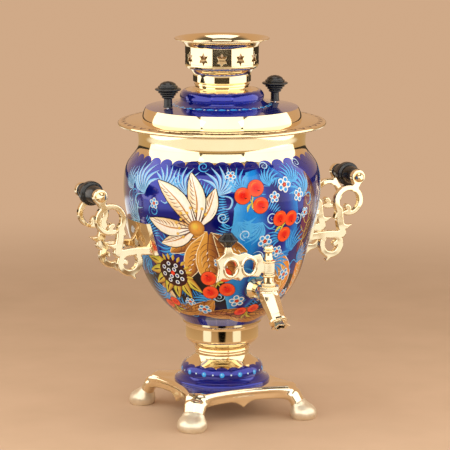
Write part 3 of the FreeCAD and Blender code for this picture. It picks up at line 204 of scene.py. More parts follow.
def lacquer():
    """Deep blue translucent lacquer over bright metal, with a slight drift towards violet."""
    recipe = Recipe(bpy.data.materials.new("blue_lacquer_finish"))
    drift = recipe.noise(scale=16.0, detail=3.0)
    recipe.set(Base_Color=recipe.tones(drift, (0.004, 0.007, 0.22), (0.008, 0.018, 0.34)))
    recipe.set(Metallic=0.55, Roughness=0.16, Specular_IOR_Level=0.1, Coat_Weight=1.0, Coat_Roughness=0.02)
    recipe.bump(recipe.noise(scale=55.0, detail=2.0), strength=0.035, distance=0.0004)
    return recipe.owner


def brushwork():
    """Painted colours with brush streaks, under the same gloss as the lacquer."""
    recipe = Recipe(bpy.data.materials.new("brushwork_finish"))
    paint = recipe.node("ShaderNodeAttribute", attribute_name="paint").outputs["Color"]
    streaks = recipe.noise(scale=700.0, detail=5.0, stretch=(1, 1, 0.35))
    worn = recipe.ramp(streaks, (0.25, (0.84, 0.84, 0.84)), (LIGHT_STOP, (1.0, 1.0, 1.0)))
    recipe.set(Base_Color=recipe.mixed_colours(1.0, paint, worn, "MULTIPLY"))
    recipe.set(Roughness=0.32, Specular_IOR_Level=0.1, Coat_Weight=1.0, Coat_Roughness=0.03, Coat_IOR=1.33)
    return recipe.owner


MOTTLE_SCALE = 120.0
GRAIN_SCALE = 960.0


def plain(name, dark, light, polish, metallic=0.0, grain=0.15):
    """Moulded, plated or rubber finish with a mottled tone and a fine grain."""
    recipe = Recipe(bpy.data.materials.new(name))
    tone = recipe.noise(MOTTLE_SCALE, detail=5.0)
    recipe.set(Metallic=metallic, Base_Color=recipe.tones(tone, dark, light))
    recipe.set(Roughness=recipe.mapped(tone, finish=polish))
    recipe.bump(recipe.noise(GRAIN_SCALE, detail=3.0), grain, distance=0.0001)
    return recipe.owner


BRASS = brass(
    "turned_brass_finish", (0.95, 0.81, 0.53), (0.91, 0.74, 0.45), (0.03, 0.09), grain=6.0, waves=0.03
)
CAST = brass("cast_brass_finish", (0.97, 0.85, 0.62), (0.92, 0.77, 0.50), (0.04, 0.11), grain=1.0, waves=1.0)
INSIDE = brass("tinned_finish", (0.72, 0.70, 0.66), (0.62, 0.60, 0.55), (0.22, 0.38), grain=3.0, waves=0.05)
# rougher brass for the inside of the crown; its dark brown colour is painted shade inside the cup
SHADED_INSIDE = brass("shaded_inside_brass_finish", (0.50, 0.34, 0.17), (0.36, 0.23, 0.11), (0.22, 0.38), grain=3.0, waves=0.05)
LACQUER = lacquer()
PAINT = brushwork()
EBONY = plain("black_knob_finish", (0.008, 0.009, 0.010), (0.018, 0.019, 0.021), (0.14, 0.24), grain=0.04)
SATIN = plain("satin_foot_finish", (0.74, 0.64, 0.46), (0.88, 0.80, 0.63), (0.28, 0.40), metallic=0.7)
STEEL = plain("plated_steel_finish", (0.50, 0.50, 0.52), (0.66, 0.66, 0.66), (0.22, 0.38), metallic=1.0)
RUBBER = plain("seal_finish", (0.015, 0.015, 0.015), (0.03, 0.03, 0.03), (0.6, 0.8))
MOULDED = plain("inlet_finish", (0.012, 0.012, 0.013), (0.03, 0.03, 0.032), (0.4, 0.55))
SLEEVE = plain("lead_finish", (0.62, 0.58, 0.50), (0.75, 0.71, 0.62), (0.5, 0.65))

SLOT_FINISH = {
    "polished_brass": BRASS,
    "cast_brass": CAST,
    "blue_lacquer": LACQUER,
    "black_plastic": EBONY,
    "plated_steel": STEEL,
    "seal_rubber": RUBBER,
    "inlet_plastic": MOULDED,
    "lead_insulation": SLEEVE,
}


def finish_frame():
    """Give every CAD node the finish of its slot."""
    for part in frame["record"]["subparts"]:
        mesh = frame["nodes"][part["node"]].data
        mesh.materials.clear()
        mesh.materials.append(SLOT_FINISH[part["material_slot"]])


def shown(name, mesh, body, nodes=(), place=Matrix.Identity(4)):
    """Put a finished mesh into the scene on its body."""
    piece = bpy.data.objects.new(name, mesh)
    bpy.context.scene.collection.objects.link(piece)
    piece.matrix_world = place
    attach(piece, body)
    if nodes:
        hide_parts(*nodes)


# turned pieces

ARC_STEP = math.radians(4.0)
SHARP = math.radians(32.0)
EDGE_ROUND = 0.4


def straight_points(start, finish):
    """Points after the start of a straight run, with one near each end that keeps its edges crisp."""
    way = finish - start
    if way.length < 4 * EDGE_ROUND:
        return [tuple(finish)]
    edge = way.normalized() * EDGE_ROUND
    return [tuple(start + edge), tuple(finish - edge), tuple(finish)]


def arc_points(start, finish, bulge):
    """Points after the start along an arc, whose bulge is the tangent of a quarter of its angle."""
    if not bulge:
        return straight_points(Vector(start), Vector(finish))
    angle = 4 * math.atan(bulge)
    steps = max(3, int(abs(angle) / ARC_STEP))
    chord = Vector(finish) - Vector(start)
    right = Vector((chord.y, -chord.x))
    centre = (Vector(start) + Vector(finish)) / 2 - right * ((1 - bulge * bulge) / (4 * bulge))
    arm = Vector(start) - centre
    points = []
    for step in range(1, steps + 1):
        turn = angle * step / steps
        ahead, aside = math.cos(turn), math.sin(turn)
        points.append((centre.x + arm.x * ahead - arm.y * aside, centre.y + arm.x * aside + arm.y * ahead))
    return points


def traced(outline):
    """Radius and height along an outline of corners with an optional bulge and finish number."""
    points = [tuple(outline[0][:2])]
    paints = []
    paint = 0
    for corner, after in zip(outline, outline[1:]):
        bulge = corner[2] if len(corner) > 2 else 0
        paint = corner[3] if len(corner) > 3 else paint
        stretch = arc_points(corner[:2], after[:2], bulge)
        points += stretch
        paints += [paint] * len(stretch)
    return points, paints


def lathe_mesh(name, points, paints, finishes, segments=SEGMENTS, axis=Matrix.Identity(4)):
    """Surface turned about Z from points of radius and height."""
    mesh = bpy.data.meshes.new(name)
    work = bmesh.new()
    rings = []
    for radius, height in points:
        if radius < 1e-6:
            rings.append([work.verts.new((0, 0, height * MM))] * segments)
            continue
        turns = [FULL_TURN * step / segments for step in range(segments)]
        spots = [(radius * MM * math.cos(t), radius * MM * math.sin(t), height * MM) for t in turns]
        rings.append([work.verts.new(spot) for spot in spots])
    for low, high, paint in zip(rings, rings[1:], paints):
        for step in range(segments):
            after = (step + 1) % segments
            corners = dict.fromkeys((low[step], low[after], high[after], high[step]))
            if len(corners) > 2:
                face = work.faces.new(corners)
                face.material_index = paint
                face.smooth = True
    work.transform(axis)
    bmesh.ops.recalc_face_normals(work, faces=work.faces)
    work.to_mesh(mesh)
    work.free()
    for finish in finishes:
        mesh.materials.append(finish)
    mesh.set_sharp_from_angle(angle=SHARP)
    return mesh


def lathe(name, outline, finishes, body, nodes, axis=Matrix.Identity(4), segments=SEGMENTS):
    points, paints = traced(outline)
    shown(name, lathe_mesh(name, points, paints, finishes, segments, axis), body, nodes)


def lifted(outline, height):
    return [(corner[0], corner[1] + height, *corner[2:]) for corner in outline]


TANK_BASE = base_of("tank_shell")
TANK_WALL = 1.4
INNER_STRIDE = 3
PAINT_TOP = 167.5

TANK_OUTLINE = [
    (39.5, 0.0, -0.053),
    (50.0, 10.0, 0.152),
    (82.5, 61.0),
    (95.5, 109.5, 0.095),
    (97.2, 152.5, 0.135),
    (92.3, 162.8),
    (84.3, 172.0, -0.179),
    (82.6, 176.5, -0.053),
    (84.3, 192.3),
    (84.3, 199.3),
]


def resampled(points, step):
    """Points at even steps along a line, its ends included."""
    line = np.array(points)
    run = np.concatenate([[0], np.cumsum(np.hypot(*np.diff(line, axis=0).T))])
    places = np.linspace(0, run[-1], int(run[-1] / step) + 1)
    return np.stack([np.interp(places, run, line[:, column]) for column in range(2)], 1)


def eased(line, reach, rounds=3):
    """The line with its corners rounded over some points on either side, its ends kept."""
    for _ in range(rounds):
        padded = np.concatenate([[line[0]] * reach, line, [line[-1]] * reach])
        kernel = np.ones(2 * reach + 1) / (2 * reach + 1)
        smooth = np.stack([np.convolve(padded[:, column], kernel, "valid") for column in range(2)], 1)
        ends = np.minimum(np.arange(len(line)), np.arange(len(line))[::-1]) / reach
        share = np.clip(ends, 0, 1)[:, None]
        line = line * (1 - share) + smooth * share
    return line


class Skin:
    """Turned surface that paint is laid on, measured along its meridian."""

    def __init__(self, line):
        self.line = line
        self.run = np.concatenate([[0], np.cumsum(np.hypot(*np.diff(line, axis=0).T))])
        slope = np.gradient(line, self.run, axis=0)
        self.normal = np.stack([slope[:, 1], -slope[:, 0]], 1)

    def run_at(self, height):
        return float(np.interp(height, self.line[:, 1], self.run))

    def radii(self, run):
        return np.interp(run, self.run, self.line[:, 0])

    def lifted(self, angle, run, lift):
        """Spots in metres at some height above the skin, and the skin's normals there."""
        radius, height = (np.interp(run, self.run, self.line[:, column]) for column in range(2))
        out, up = (np.interp(run, self.run, self.normal[:, column]) for column in range(2))
        flat = np.stack([np.cos(angle), np.sin(angle)], -1)
        reach, level = radius + out * lift, height + up * lift
        spots = np.concatenate([flat * reach[..., None], level[..., None]], -1)
        normals = np.concatenate([flat * out[..., None], up[..., None]], -1)
        return spots * MM, normals


TANK_LINE = eased(resampled(traced(lifted(TANK_OUTLINE, TANK_BASE))[0], 1.0), 4)
TANK = Skin(TANK_LINE)


def make_tank():
    """Spun tank: blue outside below the neck, bright brass above, tinned inside."""
    outer = [tuple(spot) for spot in TANK_LINE]
    inner = [(radius - TANK_WALL, height) for radius, height in outer[:0:-INNER_STRIDE] + outer[:1]]
    paint_top = TANK_BASE + PAINT_TOP
    paints = [0 if height < paint_top else 1 for _, height in outer[1:]]
    paints += [1] + [2] * len(inner)
    points = outer + inner + outer[:1]
    mesh = lathe_mesh("painted_tank", points, paints, [LACQUER, BRASS, INSIDE])
    shown("painted_tank", mesh, FIXED, ["tank_shell"])


PEDESTAL_BASE = base_of("pedestal")
PEDESTAL_OUTLINE = [
    (48.0, 0.0, 0.45, 1),
    (46.3, 3.4, -0.12),
    (41.0, 7.5, 0.3),
    (39.0, 17.5, -0.1, 0),
    (27.2, 27.0, -0.1),
    (26.9, 29.0, 0.4),
    (27.2, 31.0),
]
PEDESTAL = Skin(resampled(traced(lifted(PEDESTAL_OUTLINE, PEDESTAL_BASE))[0], 0.5))


def make_turned_base():
    cup = [
        (27.2, 0.0, 0.5),
        (27.2, 3.4),
        (33.5, 9.5, 0.2),
        (36.7, 13.8),
        (36.7, 25.4, -0.2),
        (38.8, 29.5),
        (37.4, 29.5, 0.2),
        (35.3, 25.4),
        (35.3, 13.8),
        (25.8, 3.4),
        (25.8, 0.0),
        (27.2, 0.0),
    ]
    lathe("turned_cup", lifted(cup, base_of("base_cup")), [BRASS], FIXED, ["base_cup"])
    inner = [(25.0, 31.0), (25.0, 24.8), (34.6, 15.3), (38.8, 7.5), (43.6, 0.0), (48.0, 0.0)]
    place = lifted(PEDESTAL_OUTLINE + inner, PEDESTAL_BASE)
    lathe("turned_pedestal", place, [BRASS, LACQUER], FIXED, ["pedestal"])


RIM_TOP = base_of("rim_plate") + 9.5
RIM_EDGE = [(101.9, -2.0, 0.05), (94.0, -1.15, 0.35)]
RIM_SKIN = Skin(resampled(traced(lifted(RIM_EDGE, RIM_TOP))[0], 0.5))


def make_rim():
    """Wide plate with a rolled edge and a raised bead inside it."""
    outline = [
        (77.2, -3.5),
        (81.5, -3.5),
        (81.5, -9.5),
        (82.7, -9.5),
        (82.7, -3.5),
        (100.7, -3.5),
        (100.7, -5.6),
        (101.9, -5.6, 0.9),
        *RIM_EDGE,
        (92.6, -1.0, 0.05),
        (81.0, 0.0),
        (77.2, 0.0),
        (77.2, -3.5),
    ]
    lathe("spun_rim", lifted(outline, RIM_TOP), [BRASS], FIXED, ["rim_plate"])


SMALL_SEGMENTS = 96
LID_SEAT = RIM_TOP
LID_TOP_OUTLINE = [
    (79.6, 0.0, 0, 1),
    (79.6, 1.4, 0.08, 1),
    (75.8, 11.8, 0, 0),
    (50.5, 14.2, -0.2),
    (41.0, 19.2, 0.38),
    (38.5, 28.8, 0, 1),
    (35.5, 29.6, -0.25, 1),
    (26.6, 32.2),
    (24.6, 32.2),
]
LID_SKIN = Skin(resampled(traced(lifted(LID_TOP_OUTLINE, LID_SEAT))[0], 0.5))


def make_lid():
    inner = [
        (24.6, 39.2),
        (4.0, 39.2),
        (4.0, 37.9),
        (23.3, 37.9, 0, 2),
        (23.3, 30.9),
        (32.9, 27.0),
        (38.4, 19.2),
        (49.2, 12.9),
        (71.7, 10.5),
        (75.5, 1.4),
        (75.5, -8.0),
        (76.7, -8.0),
        (76.7, 0.0),
        (79.6, 0.0),
    ]
    outline = lifted(LID_TOP_OUTLINE + inner, LID_SEAT)
    lathe("spun_lid", outline, [LACQUER, BRASS, INSIDE], LID, ["lid"])


def make_knobs():
    """Black knobs turned as a stack of ribs under a domed top."""
    outline = [(1.6, 0.0), (4.4, 0.0, 0.3), (4.2, 1.6), (4.0, 8.6), (5.6, 9.4, 0.6), (5.9, 11.2)]
    outline += [(5.3, 11.5), (7.1, 11.9, 0.6), (7.5, 13.5), (6.8, 13.8), (9.1, 14.3, 0.6), (9.5, 15.8)]
    outline += [(8.7, 16.1), (12.2, 17.0, 0.7), (12.2, 19.0), (9.6, 19.7), (9.7, 20.2, 0.5), (8.7, 21.6)]
    outline += [(8.2, 21.6), (7.7, 23.2, 0.12), (4.1, 25.3), (3.9, 25.0), (3.4, 25.1, 0.15), (0.0, 26.0)]
    for side in ("left", "right"):
        node = f"{side}_lid_knob"
        low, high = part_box(node)
        move = Matrix.Translation(((low.x + high.x) / 2, (low.y + high.y) / 2, low.z))
        name = f"{side}_ribbed_knob"
        lathe(name, outline, [EBONY], LID, [node], move, SMALL_SEGMENTS)


def make_grips():
    """Turned black grips, thicker towards a flange in the middle."""
    outline = [(2.6, -19.25), (7.5, -19.25, -0.4), (7.7, -17.6), (7.1, -17.2), (7.5, -16.2, -0.06)]
    outline += [(9.2, -5.0), (9.2, -4.3), (10.6, -3.6, -0.3), (12.0, -2.2), (12.0, 2.2, 0.3), (10.6, 3.6)]
    outline += [(9.2, 4.3), (9.2, 5.0, 0.06), (7.5, 16.2), (7.1, 17.2), (7.7, 17.6, 0.4), (7.5, 19.25)]
    outline += [(2.6, 19.25)]
    for side in ("left", "right"):
        node = f"{side}_grip"
        low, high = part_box(node)
        move = Matrix.Translation((low + high) / 2) @ Matrix.Rotation(math.radians(90), 4, "X")
        name = f"{side}_turned_grip"
        lathe(name, outline, [EBONY], FIXED, [node], move, SMALL_SEGMENTS)


# castings carved from distance fields


def capsules(points, path):
    """Distance to a chain of tapering rods; each knot of the path ends with its radius."""
    knots = np.array(path, float)
    best = np.full(len(points), 1e9)
    for first, last in zip(knots, knots[1:]):
        way = last[:-1] - first[:-1]
        share = np.clip((points - first[:-1]) @ way / max(way @ way, 1e-9), 0, 1)
        gap = np.linalg.norm(points - first[:-1] - share[:, None] * way, axis=1)
        best = np.minimum(best, gap - first[-1] - share * (last[-1] - first[-1]))
    return best


def blend_min(one, two, soft):
    share = np.clip(0.5 + 0.5 * (two - one) / soft, 0, 1)
    return two * (1 - share) + one * share - soft * share * (1 - share)


def plated(flat_gap, offset, half, rounding):
    """Distance to a plate of a flat outline, with rounded edges."""
    across = flat_gap + rounding
    through = np.abs(offset) - half + rounding
    outside = np.hypot(np.maximum(across, 0), np.maximum(through, 0))
    return outside + np.minimum(np.maximum(across, through), 0) - rounding


def drum(around, radius, offset, half):
    """Distance to a round disc, from the distance to its axis and the offset from its middle."""
    return np.maximum(around - radius, np.abs(offset) - half)


def spiral_path(centre, radii, angles, widths, steps=28):
    """Knots along a scroll, from its first radius, angle and band width to its last."""
    path = []
    for step in range(steps + 1):
        share = step / steps
        radius, angle, width = (first + (last - first) * share for first, last in (radii, angles, widths))
        x, y = polar(radius, angle)
        path.append((centre[0] + x, centre[1] + y, width))
    return path


def gradient(field, points, step=0.05):
    shifts = np.eye(3) * step
    return np.stack([field(points + shift) - field(points - shift) for shift in shifts], 1) / (2 * step)


def carved_mesh(name, field, low, high, step, finish):
    """Closed mesh of the surface where a distance field is zero, in millimetres."""
    counts = [int((b - a) / step) + 2 for a, b in zip(low, high)]
    axes = [a + step * np.arange(count) for a, count in zip(low, counts)]
    grid = np.stack(np.meshgrid(*axes, indexing="ij"), -1)
    values = field(grid.reshape(-1, 3)).reshape(counts)
    cells = tuple(count - 1 for count in counts)
    total = np.zeros(cells + (3,))
    hits = np.zeros(cells)
    crossings = []
    whole, lower, upper = slice(None), slice(None, -1), slice(1, None)
    for axis in range(3):
        first = tuple(lower if a == axis else whole for a in range(3))
        last = tuple(upper if a == axis else whole for a in range(3))
        one, two = values[first], values[last]
        cross = (one < 0) != (two < 0)
        share = np.where(cross, one / np.where(cross, one - two, 1), 0)
        spot = grid[first].copy()
        spot[..., axis] += share * step
        spot *= cross[..., None]
        others = [a for a in range(3) if a != axis]
        for picks in ((lower, lower), (lower, upper), (upper, lower), (upper, upper)):
            choose = [whole] * 3
            for other, pick in zip(others, picks):
                choose[other] = pick
            total += spot[tuple(choose)]
            hits += cross[tuple(choose)]
        crossings.append((axis, cross, one < 0))
    used = hits > 0
    number = np.full(cells, -1)
    number[used] = np.arange(used.sum())
    points = total[used] / hits[used][:, None]
    for _ in range(3):
        slope = gradient(field, points)
        size = np.maximum((slope * slope).sum(1), 1e-6)
        move = -(field(points) / size)[:, None] * slope
        points += np.clip(move, -step / 2, step / 2)
    faces = []
    for axis, cross, inside in crossings:
        others = [a for a in range(3) if a != axis]
        trimmed = cross.copy()
        for other in others:
            edge = [whole] * 3
            for end in (0, -1):
                edge[other] = end
                trimmed[tuple(edge)] = False
        spots = np.stack(np.nonzero(trimmed), 1)
        corners = []
        for back in ((1, 1), (0, 1), (0, 0), (1, 0)):
            moved = spots.copy()
            for other, shift in zip(others, back):
                moved[:, other] -= shift
            corners.append(number[tuple(moved.T)])
        quads = np.stack(corners, 1)
        outward = inside[tuple(spots.T)] != (axis == 1)
        quads[~outward] = quads[~outward][:, ::-1]
        faces += quads.tolist()
    mesh = bpy.data.meshes.new(name)
    mesh.from_pydata((points * MM).tolist(), [], faces)
    mesh.shade_smooth()
    normal = gradient(field, points)
    normal /= np.linalg.norm(normal, axis=1)[:, None]
    mesh.normals_split_custom_set_from_vertices(normal.tolist())
    mesh.materials.append(finish)
    return mesh


BRACKET_HALF = 3.25
BRACKET_BOX = ((84.0, -4.4, 147.0), (151.0, 4.4, 244.0))
EYE = (141.0, 233.5)
EYE_RADIUS = 7.4
EYE_BORE = 2.55
EYE_NECK = ((*EYE, 5.4), (139.4, 226.0, 3.8), (136.8, 221.6, 3.2))
HOOK_STEPS = 8

# upper scroll and its hook, strap with a notch and a spike, lower loop, bar, tip and curl
BRACKET_BANDS = (
    spiral_path((130.8, 209.8), (14.2, 12.4), (218, -112), (3.0, 2.2)),
    spiral_path((127.4, 201.8), (3.8, 2.6), (-86, 60), (2.2, 2.8), HOOK_STEPS),
    ((119.8, 202.0, 3.2), (120.6, 190.0, 3.9), (123.4, 177.5, 3.8)),
    ((118.6, 198.0, 3.0), (114.6, 193.2, 0.9)),
    ((122.0, 184.0, 3.2), (127.5, 183.4, 2.5), (133.2, 185.2, 0.7)),
    spiral_path((110.5, 166.5), (10.4, 10.4), (100, -212), (3.3, 3.1)),
    ((86.0, 176.0, 4.0), (104.0, 177.2, 3.8), (123.0, 176.2, 3.6)),
    ((109.0, 156.0, 3.2), (105.4, 150.6, 1.1)),
    spiral_path((116.2, 165.0), (4.2, 2.2), (-20, 130), (2.4, 2.5), HOOK_STEPS),
)


def bracket_field(points):
    """Pierced scroll bracket in the XZ plane."""
    flat = points[:, [0, 2]]
    from_eye = np.hypot(flat[:, 0] - EYE[0], flat[:, 1] - EYE[1])
    shape = blend_min(from_eye - EYE_RADIUS, capsules(flat, EYE_NECK), soft=2.0)
    for band in BRACKET_BANDS:
        shape = blend_min(shape, capsules(flat, band), soft=1.6)
    plate = plated(shape, points[:, 1], BRACKET_HALF, rounding=1.0)
    return np.maximum(plate, EYE_BORE - from_eye)


def make_brackets():
    mesh = carved_mesh("scroll_bracket", bracket_field, *BRACKET_BOX, 0.6, CAST)
    for side, turn in (("right", 0.0), ("left", math.pi)):
        for end in ("front", "rear"):
            node = f"{side}_{end}_bracket"
            low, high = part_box(node)
            place = Matrix.Translation((0, (low.y + high.y) / 2, 0)) @ Matrix.Rotation(turn, 4, "Z")
            shown(f"{side}_{end}_scroll", mesh, FIXED, [node], place)


STAND_TURN = math.radians(45.0)
STAND_BOX = ((-92.0, -92.0, 4.0), (92.0, 92.0, 36.0))
PLATE_TOP = top_of("foot_base")
PLATE_ROUND = 1.6
SKIRT = 21.0
SIDE_REACH = 51.0
KNEE_REACH = 74.0
KNEE_HALF = 9.0
DROP_HALF = 12.0
DROP_DEPTH = 6.5
DROP_ROOT = 6.0
DIAGONAL = math.sqrt(0.5)
LEG_COUNT = 4
LEG_FLATNESS = np.array([1.0, 0.6, 1.0])
LEG = ((58, 0, 26.4, 7.0), (70, 0, 26.2, 7.2), (76.5, 0, 23.0, 7.0), (80.5, 0, 16.5, 6.4), (83, 0, 9, 6.6))
HEEL = ((82.4, 0, 13.5, 6.9), (84.5, 0, 8.0, 8.0))
HOOF_BOX = ((70.0, -16.0, -1.5), (102.5, 16.0, 23.0))
HOOF_MIDDLE = np.array([87.0, 0.0, 5.0])
HOOF_HALF = np.array([13.0, 14.4, 10.2])


def folded(points):
    """Points of the stand brought round onto one half of one leg."""
    x, y = np.abs(points[:, 0]), np.abs(points[:, 1])
    return np.stack([np.maximum(x, y), np.minimum(x, y), points[:, 2]], 1)


def stand_field(points):
    """Plate with concave sides, a drop on each side and a curved leg on each corner."""
    spots = folded(points)
    along, across, height = spots.T
    reach = KNEE_REACH**2 + KNEE_HALF**2 - SIDE_REACH**2
    centre = reach / ((KNEE_REACH + KNEE_HALF) / DIAGONAL - 2 * SIDE_REACH)
    hollow = np.hypot(along - centre * DIAGONAL, across - centre * DIAGONAL)
    edge = np.maximum(centre - SIDE_REACH - hollow, along - KNEE_REACH)
    middle = (PLATE_TOP + SKIRT) / 2
    plate = plated(edge, height - middle, PLATE_TOP - middle, PLATE_ROUND)
    moulding = plated(edge - 1.4, height - PLATE_TOP + 3.6, 2.0, PLATE_ROUND)
    aside = np.abs(along - across) * DIAGONAL
    outward = (along + across) * DIAGONAL
    slope = np.clip(1 - aside / DROP_HALF, 0, 1)
    drop = np.maximum(aside - DROP_HALF, SKIRT - DROP_DEPTH * slope**1.6 - height)
    drop = np.maximum(drop, height - SKIRT - DROP_ROOT)
    drop = plated(drop, outward - SIDE_REACH + 2.2, half=2.6, rounding=0.9)
    shape = blend_min(blend_min(plate, moulding, soft=1.0), drop, soft=1.2)
    return blend_min(shape, capsules(spots * LEG_FLATNESS, LEG), soft=4.0)


def hoof_field(points):
    """Pale foot: a low dome drawn out towards its toe, flat underneath."""
    dome = (np.linalg.norm((points - HOOF_MIDDLE) / HOOF_HALF, axis=1) - 1) * HOOF_HALF[2]
    heel = capsules(points * LEG_FLATNESS, HEEL)
    return np.maximum(blend_min(dome, heel, soft=4.0), -points[:, 2])


def make_stand():
    mesh = carved_mesh("stand_casting", stand_field, *STAND_BOX, 1.15, CAST)
    mesh.transform(Matrix.Rotation(STAND_TURN, 4, "Z"))
    shown("stand_casting", mesh, FIXED, ["foot_base"])
    hoof = carved_mesh("satin_hoof", hoof_field, *HOOF_BOX, 0.8, SATIN)
    for step in range(LEG_COUNT):
        place = Matrix.Rotation(STAND_TURN + step * FULL_TURN / LEG_COUNT, 4, "Z")
        shown(f"satin_hoof_{step + 1}", hoof, FIXED, (), place)


# tap

PLUG_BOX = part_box("tap_plug")
TAP_REACH = -(PLUG_BOX[0].y + PLUG_BOX[1].y) / 2 / MM
TAP_HEIGHT = TANK_BASE + 45.0
BARREL_RADIUS = 9.3
BARREL_HALF = 8.0
SHANK_HALF = 24.0
SPOUT_TILT = math.radians(46.4)
SPOUT_SIDES = 6
SPOUT_PLACES = (-6.0, 0.0, 26.0, 32.0, 35.0, 43.5)
SPOUT_RADII = (9.8, 9.6, 7.4, 7.1, 7.4, 10.2)
SPOUT_RING = 32.0
MOUTH_TILT = math.radians(60.0)
MOUTH_REACH = 38.2
MOUTH_SCALLOP = 1.4


def tap_field(points):
    """Shank, barrel and a six-sided spout with a ring and a flared mouth."""
    x, y, z = points[:, 0], points[:, 1] + TAP_REACH, points[:, 2] - TAP_HEIGHT
    around = np.hypot(x, y)
    taper = np.maximum(-4.5 - z, 0) * 0.7
    barrel = drum(around + taper, BARREL_RADIUS, z, BARREL_HALF)
    collar = drum(around, radius=10.3, offset=z - 6.0, half=2.0)
    bead = drum(around, radius=9.9, offset=z - 1.0, half=0.9)
    shank = drum(np.hypot(x, z), radius=6.5, offset=y - SHANK_HALF, half=SHANK_HALF)
    forward, down = math.cos(SPOUT_TILT), math.sin(SPOUT_TILT)
    length = -y * forward - z * down
    side = -y * down + z * forward
    flat_reach = np.interp(length, SPOUT_PLACES, SPOUT_RADII) * 0.93
    facets = np.full(len(points), -1e9)
    for step in range(SPOUT_SIDES):
        turn = FULL_TURN * step / SPOUT_SIDES
        facets = np.maximum(facets, x * math.cos(turn) + side * math.sin(turn) - flat_reach)
    scallop = MOUTH_SCALLOP * np.cos(SPOUT_SIDES / 2 * np.arctan2(side, x)) ** 2
    mouth = -y * math.cos(MOUTH_TILT) - z * math.sin(MOUTH_TILT) - MOUTH_REACH + scallop
    spout = np.maximum(np.maximum(facets, mouth), -6.6 - length)
    ring = drum(np.hypot(x, side), radius=8.9, offset=length - SPOUT_RING, half=1.3)
    shape = blend_min(barrel, collar, soft=0.5)
    shape = blend_min(shape, bead, soft=0.4)
    shape = blend_min(shape, shank, soft=1.5)
    shape = blend_min(shape, blend_min(spout, ring, soft=0.6), soft=1.2)
    seat = np.maximum(around - 6.7, -z - 6.0)
    water_way = np.maximum(np.hypot(x, side) - 5.2, 14.0 - length)
    return np.maximum(np.maximum(shape, -seat), -water_way)


def polygon_gap(flat, corners):
    """Signed distance to a flat outline of straight edges."""
    ends = np.array(corners, float)
    best = np.full(len(flat), 1e9)
    inside = np.zeros(len(flat), bool)
    for first, last in zip(ends, np.roll(ends, -1, axis=0)):
        way = last - first
        share = np.clip((flat - first) @ way / (way @ way), 0, 1)
        best = np.minimum(best, np.linalg.norm(flat - first - share[:, None] * way, axis=1))
        spans = (first[1] > flat[:, 1]) != (last[1] > flat[:, 1])
        rise = last[1] - first[1] if last[1] != first[1] else 1e-9
        inside ^= spans & (flat[:, 0] < first[0] + (flat[:, 1] - first[1]) / rise * way[0])
    return np.where(inside, -best, best)


KEY_OUTLINE = (
    (-4.9, 163.0), (-4.9, 171.0), (-9.5, 181.0), (-17.5, 179.6), (-25.3, 183.4), (-32.7, 182.0),
    (-38.5, 184.5), (-41.0, 190.4), (-45.0, 190.4), (-46.6, 184.5), (-51.7, 180.7), (-55.2, 178.4),
    (-52.8, 170.0), (-55.2, 157.4), (-49.6, 160.6), (-43.0, 158.9), (-33.5, 160.0), (-30.8, 157.2),
    (-27.5, 160.0), (-20.0, 160.8), (-11.0, 159.2), (-8.2, 163.0),
)
KEY_HOLES = ((-21.3, 170.0), (-40.7, 170.0))
KEY_HALF = 2.5
KEY_BORE = 4.5
HUB_HEIGHT = 167.0
POST_PLACE = (-43.0, 192.0)


def key_field(points):
    """Pierced key plate with a raised rim round each hole, on its hub, and a post for its knob."""
    across, through, height = points[:, 0], points[:, 1] + TAP_REACH, points[:, 2]
    gap = polygon_gap(points[:, [0, 2]], KEY_OUTLINE)
    shape = plated(gap - 0.5, through, KEY_HALF - 0.4, rounding=0.9)
    holes = np.full(len(points), 1e9)
    for aside, level in KEY_HOLES:
        oval = (np.hypot((across - aside) / 6.0, (height - level) / 7.0) - 1) * 6.4
        rim = np.hypot(oval - 1.4, np.abs(through) - KEY_HALF + 0.7) - 1.1
        shape = blend_min(shape, rim, soft=0.5)
        holes = np.minimum(holes, oval)
    around = np.hypot(across, through)
    hub = drum(around, radius=6.0, offset=height - HUB_HEIGHT, half=4.95)
    shape = blend_min(np.maximum(shape, -holes), hub, soft=0.8)
    from_post = np.hypot(across - POST_PLACE[0], through)
    shape = np.minimum(shape, drum(from_post, radius=2.0, offset=height - POST_PLACE[1], half=7.9))
    return np.maximum(shape, KEY_BORE - around)


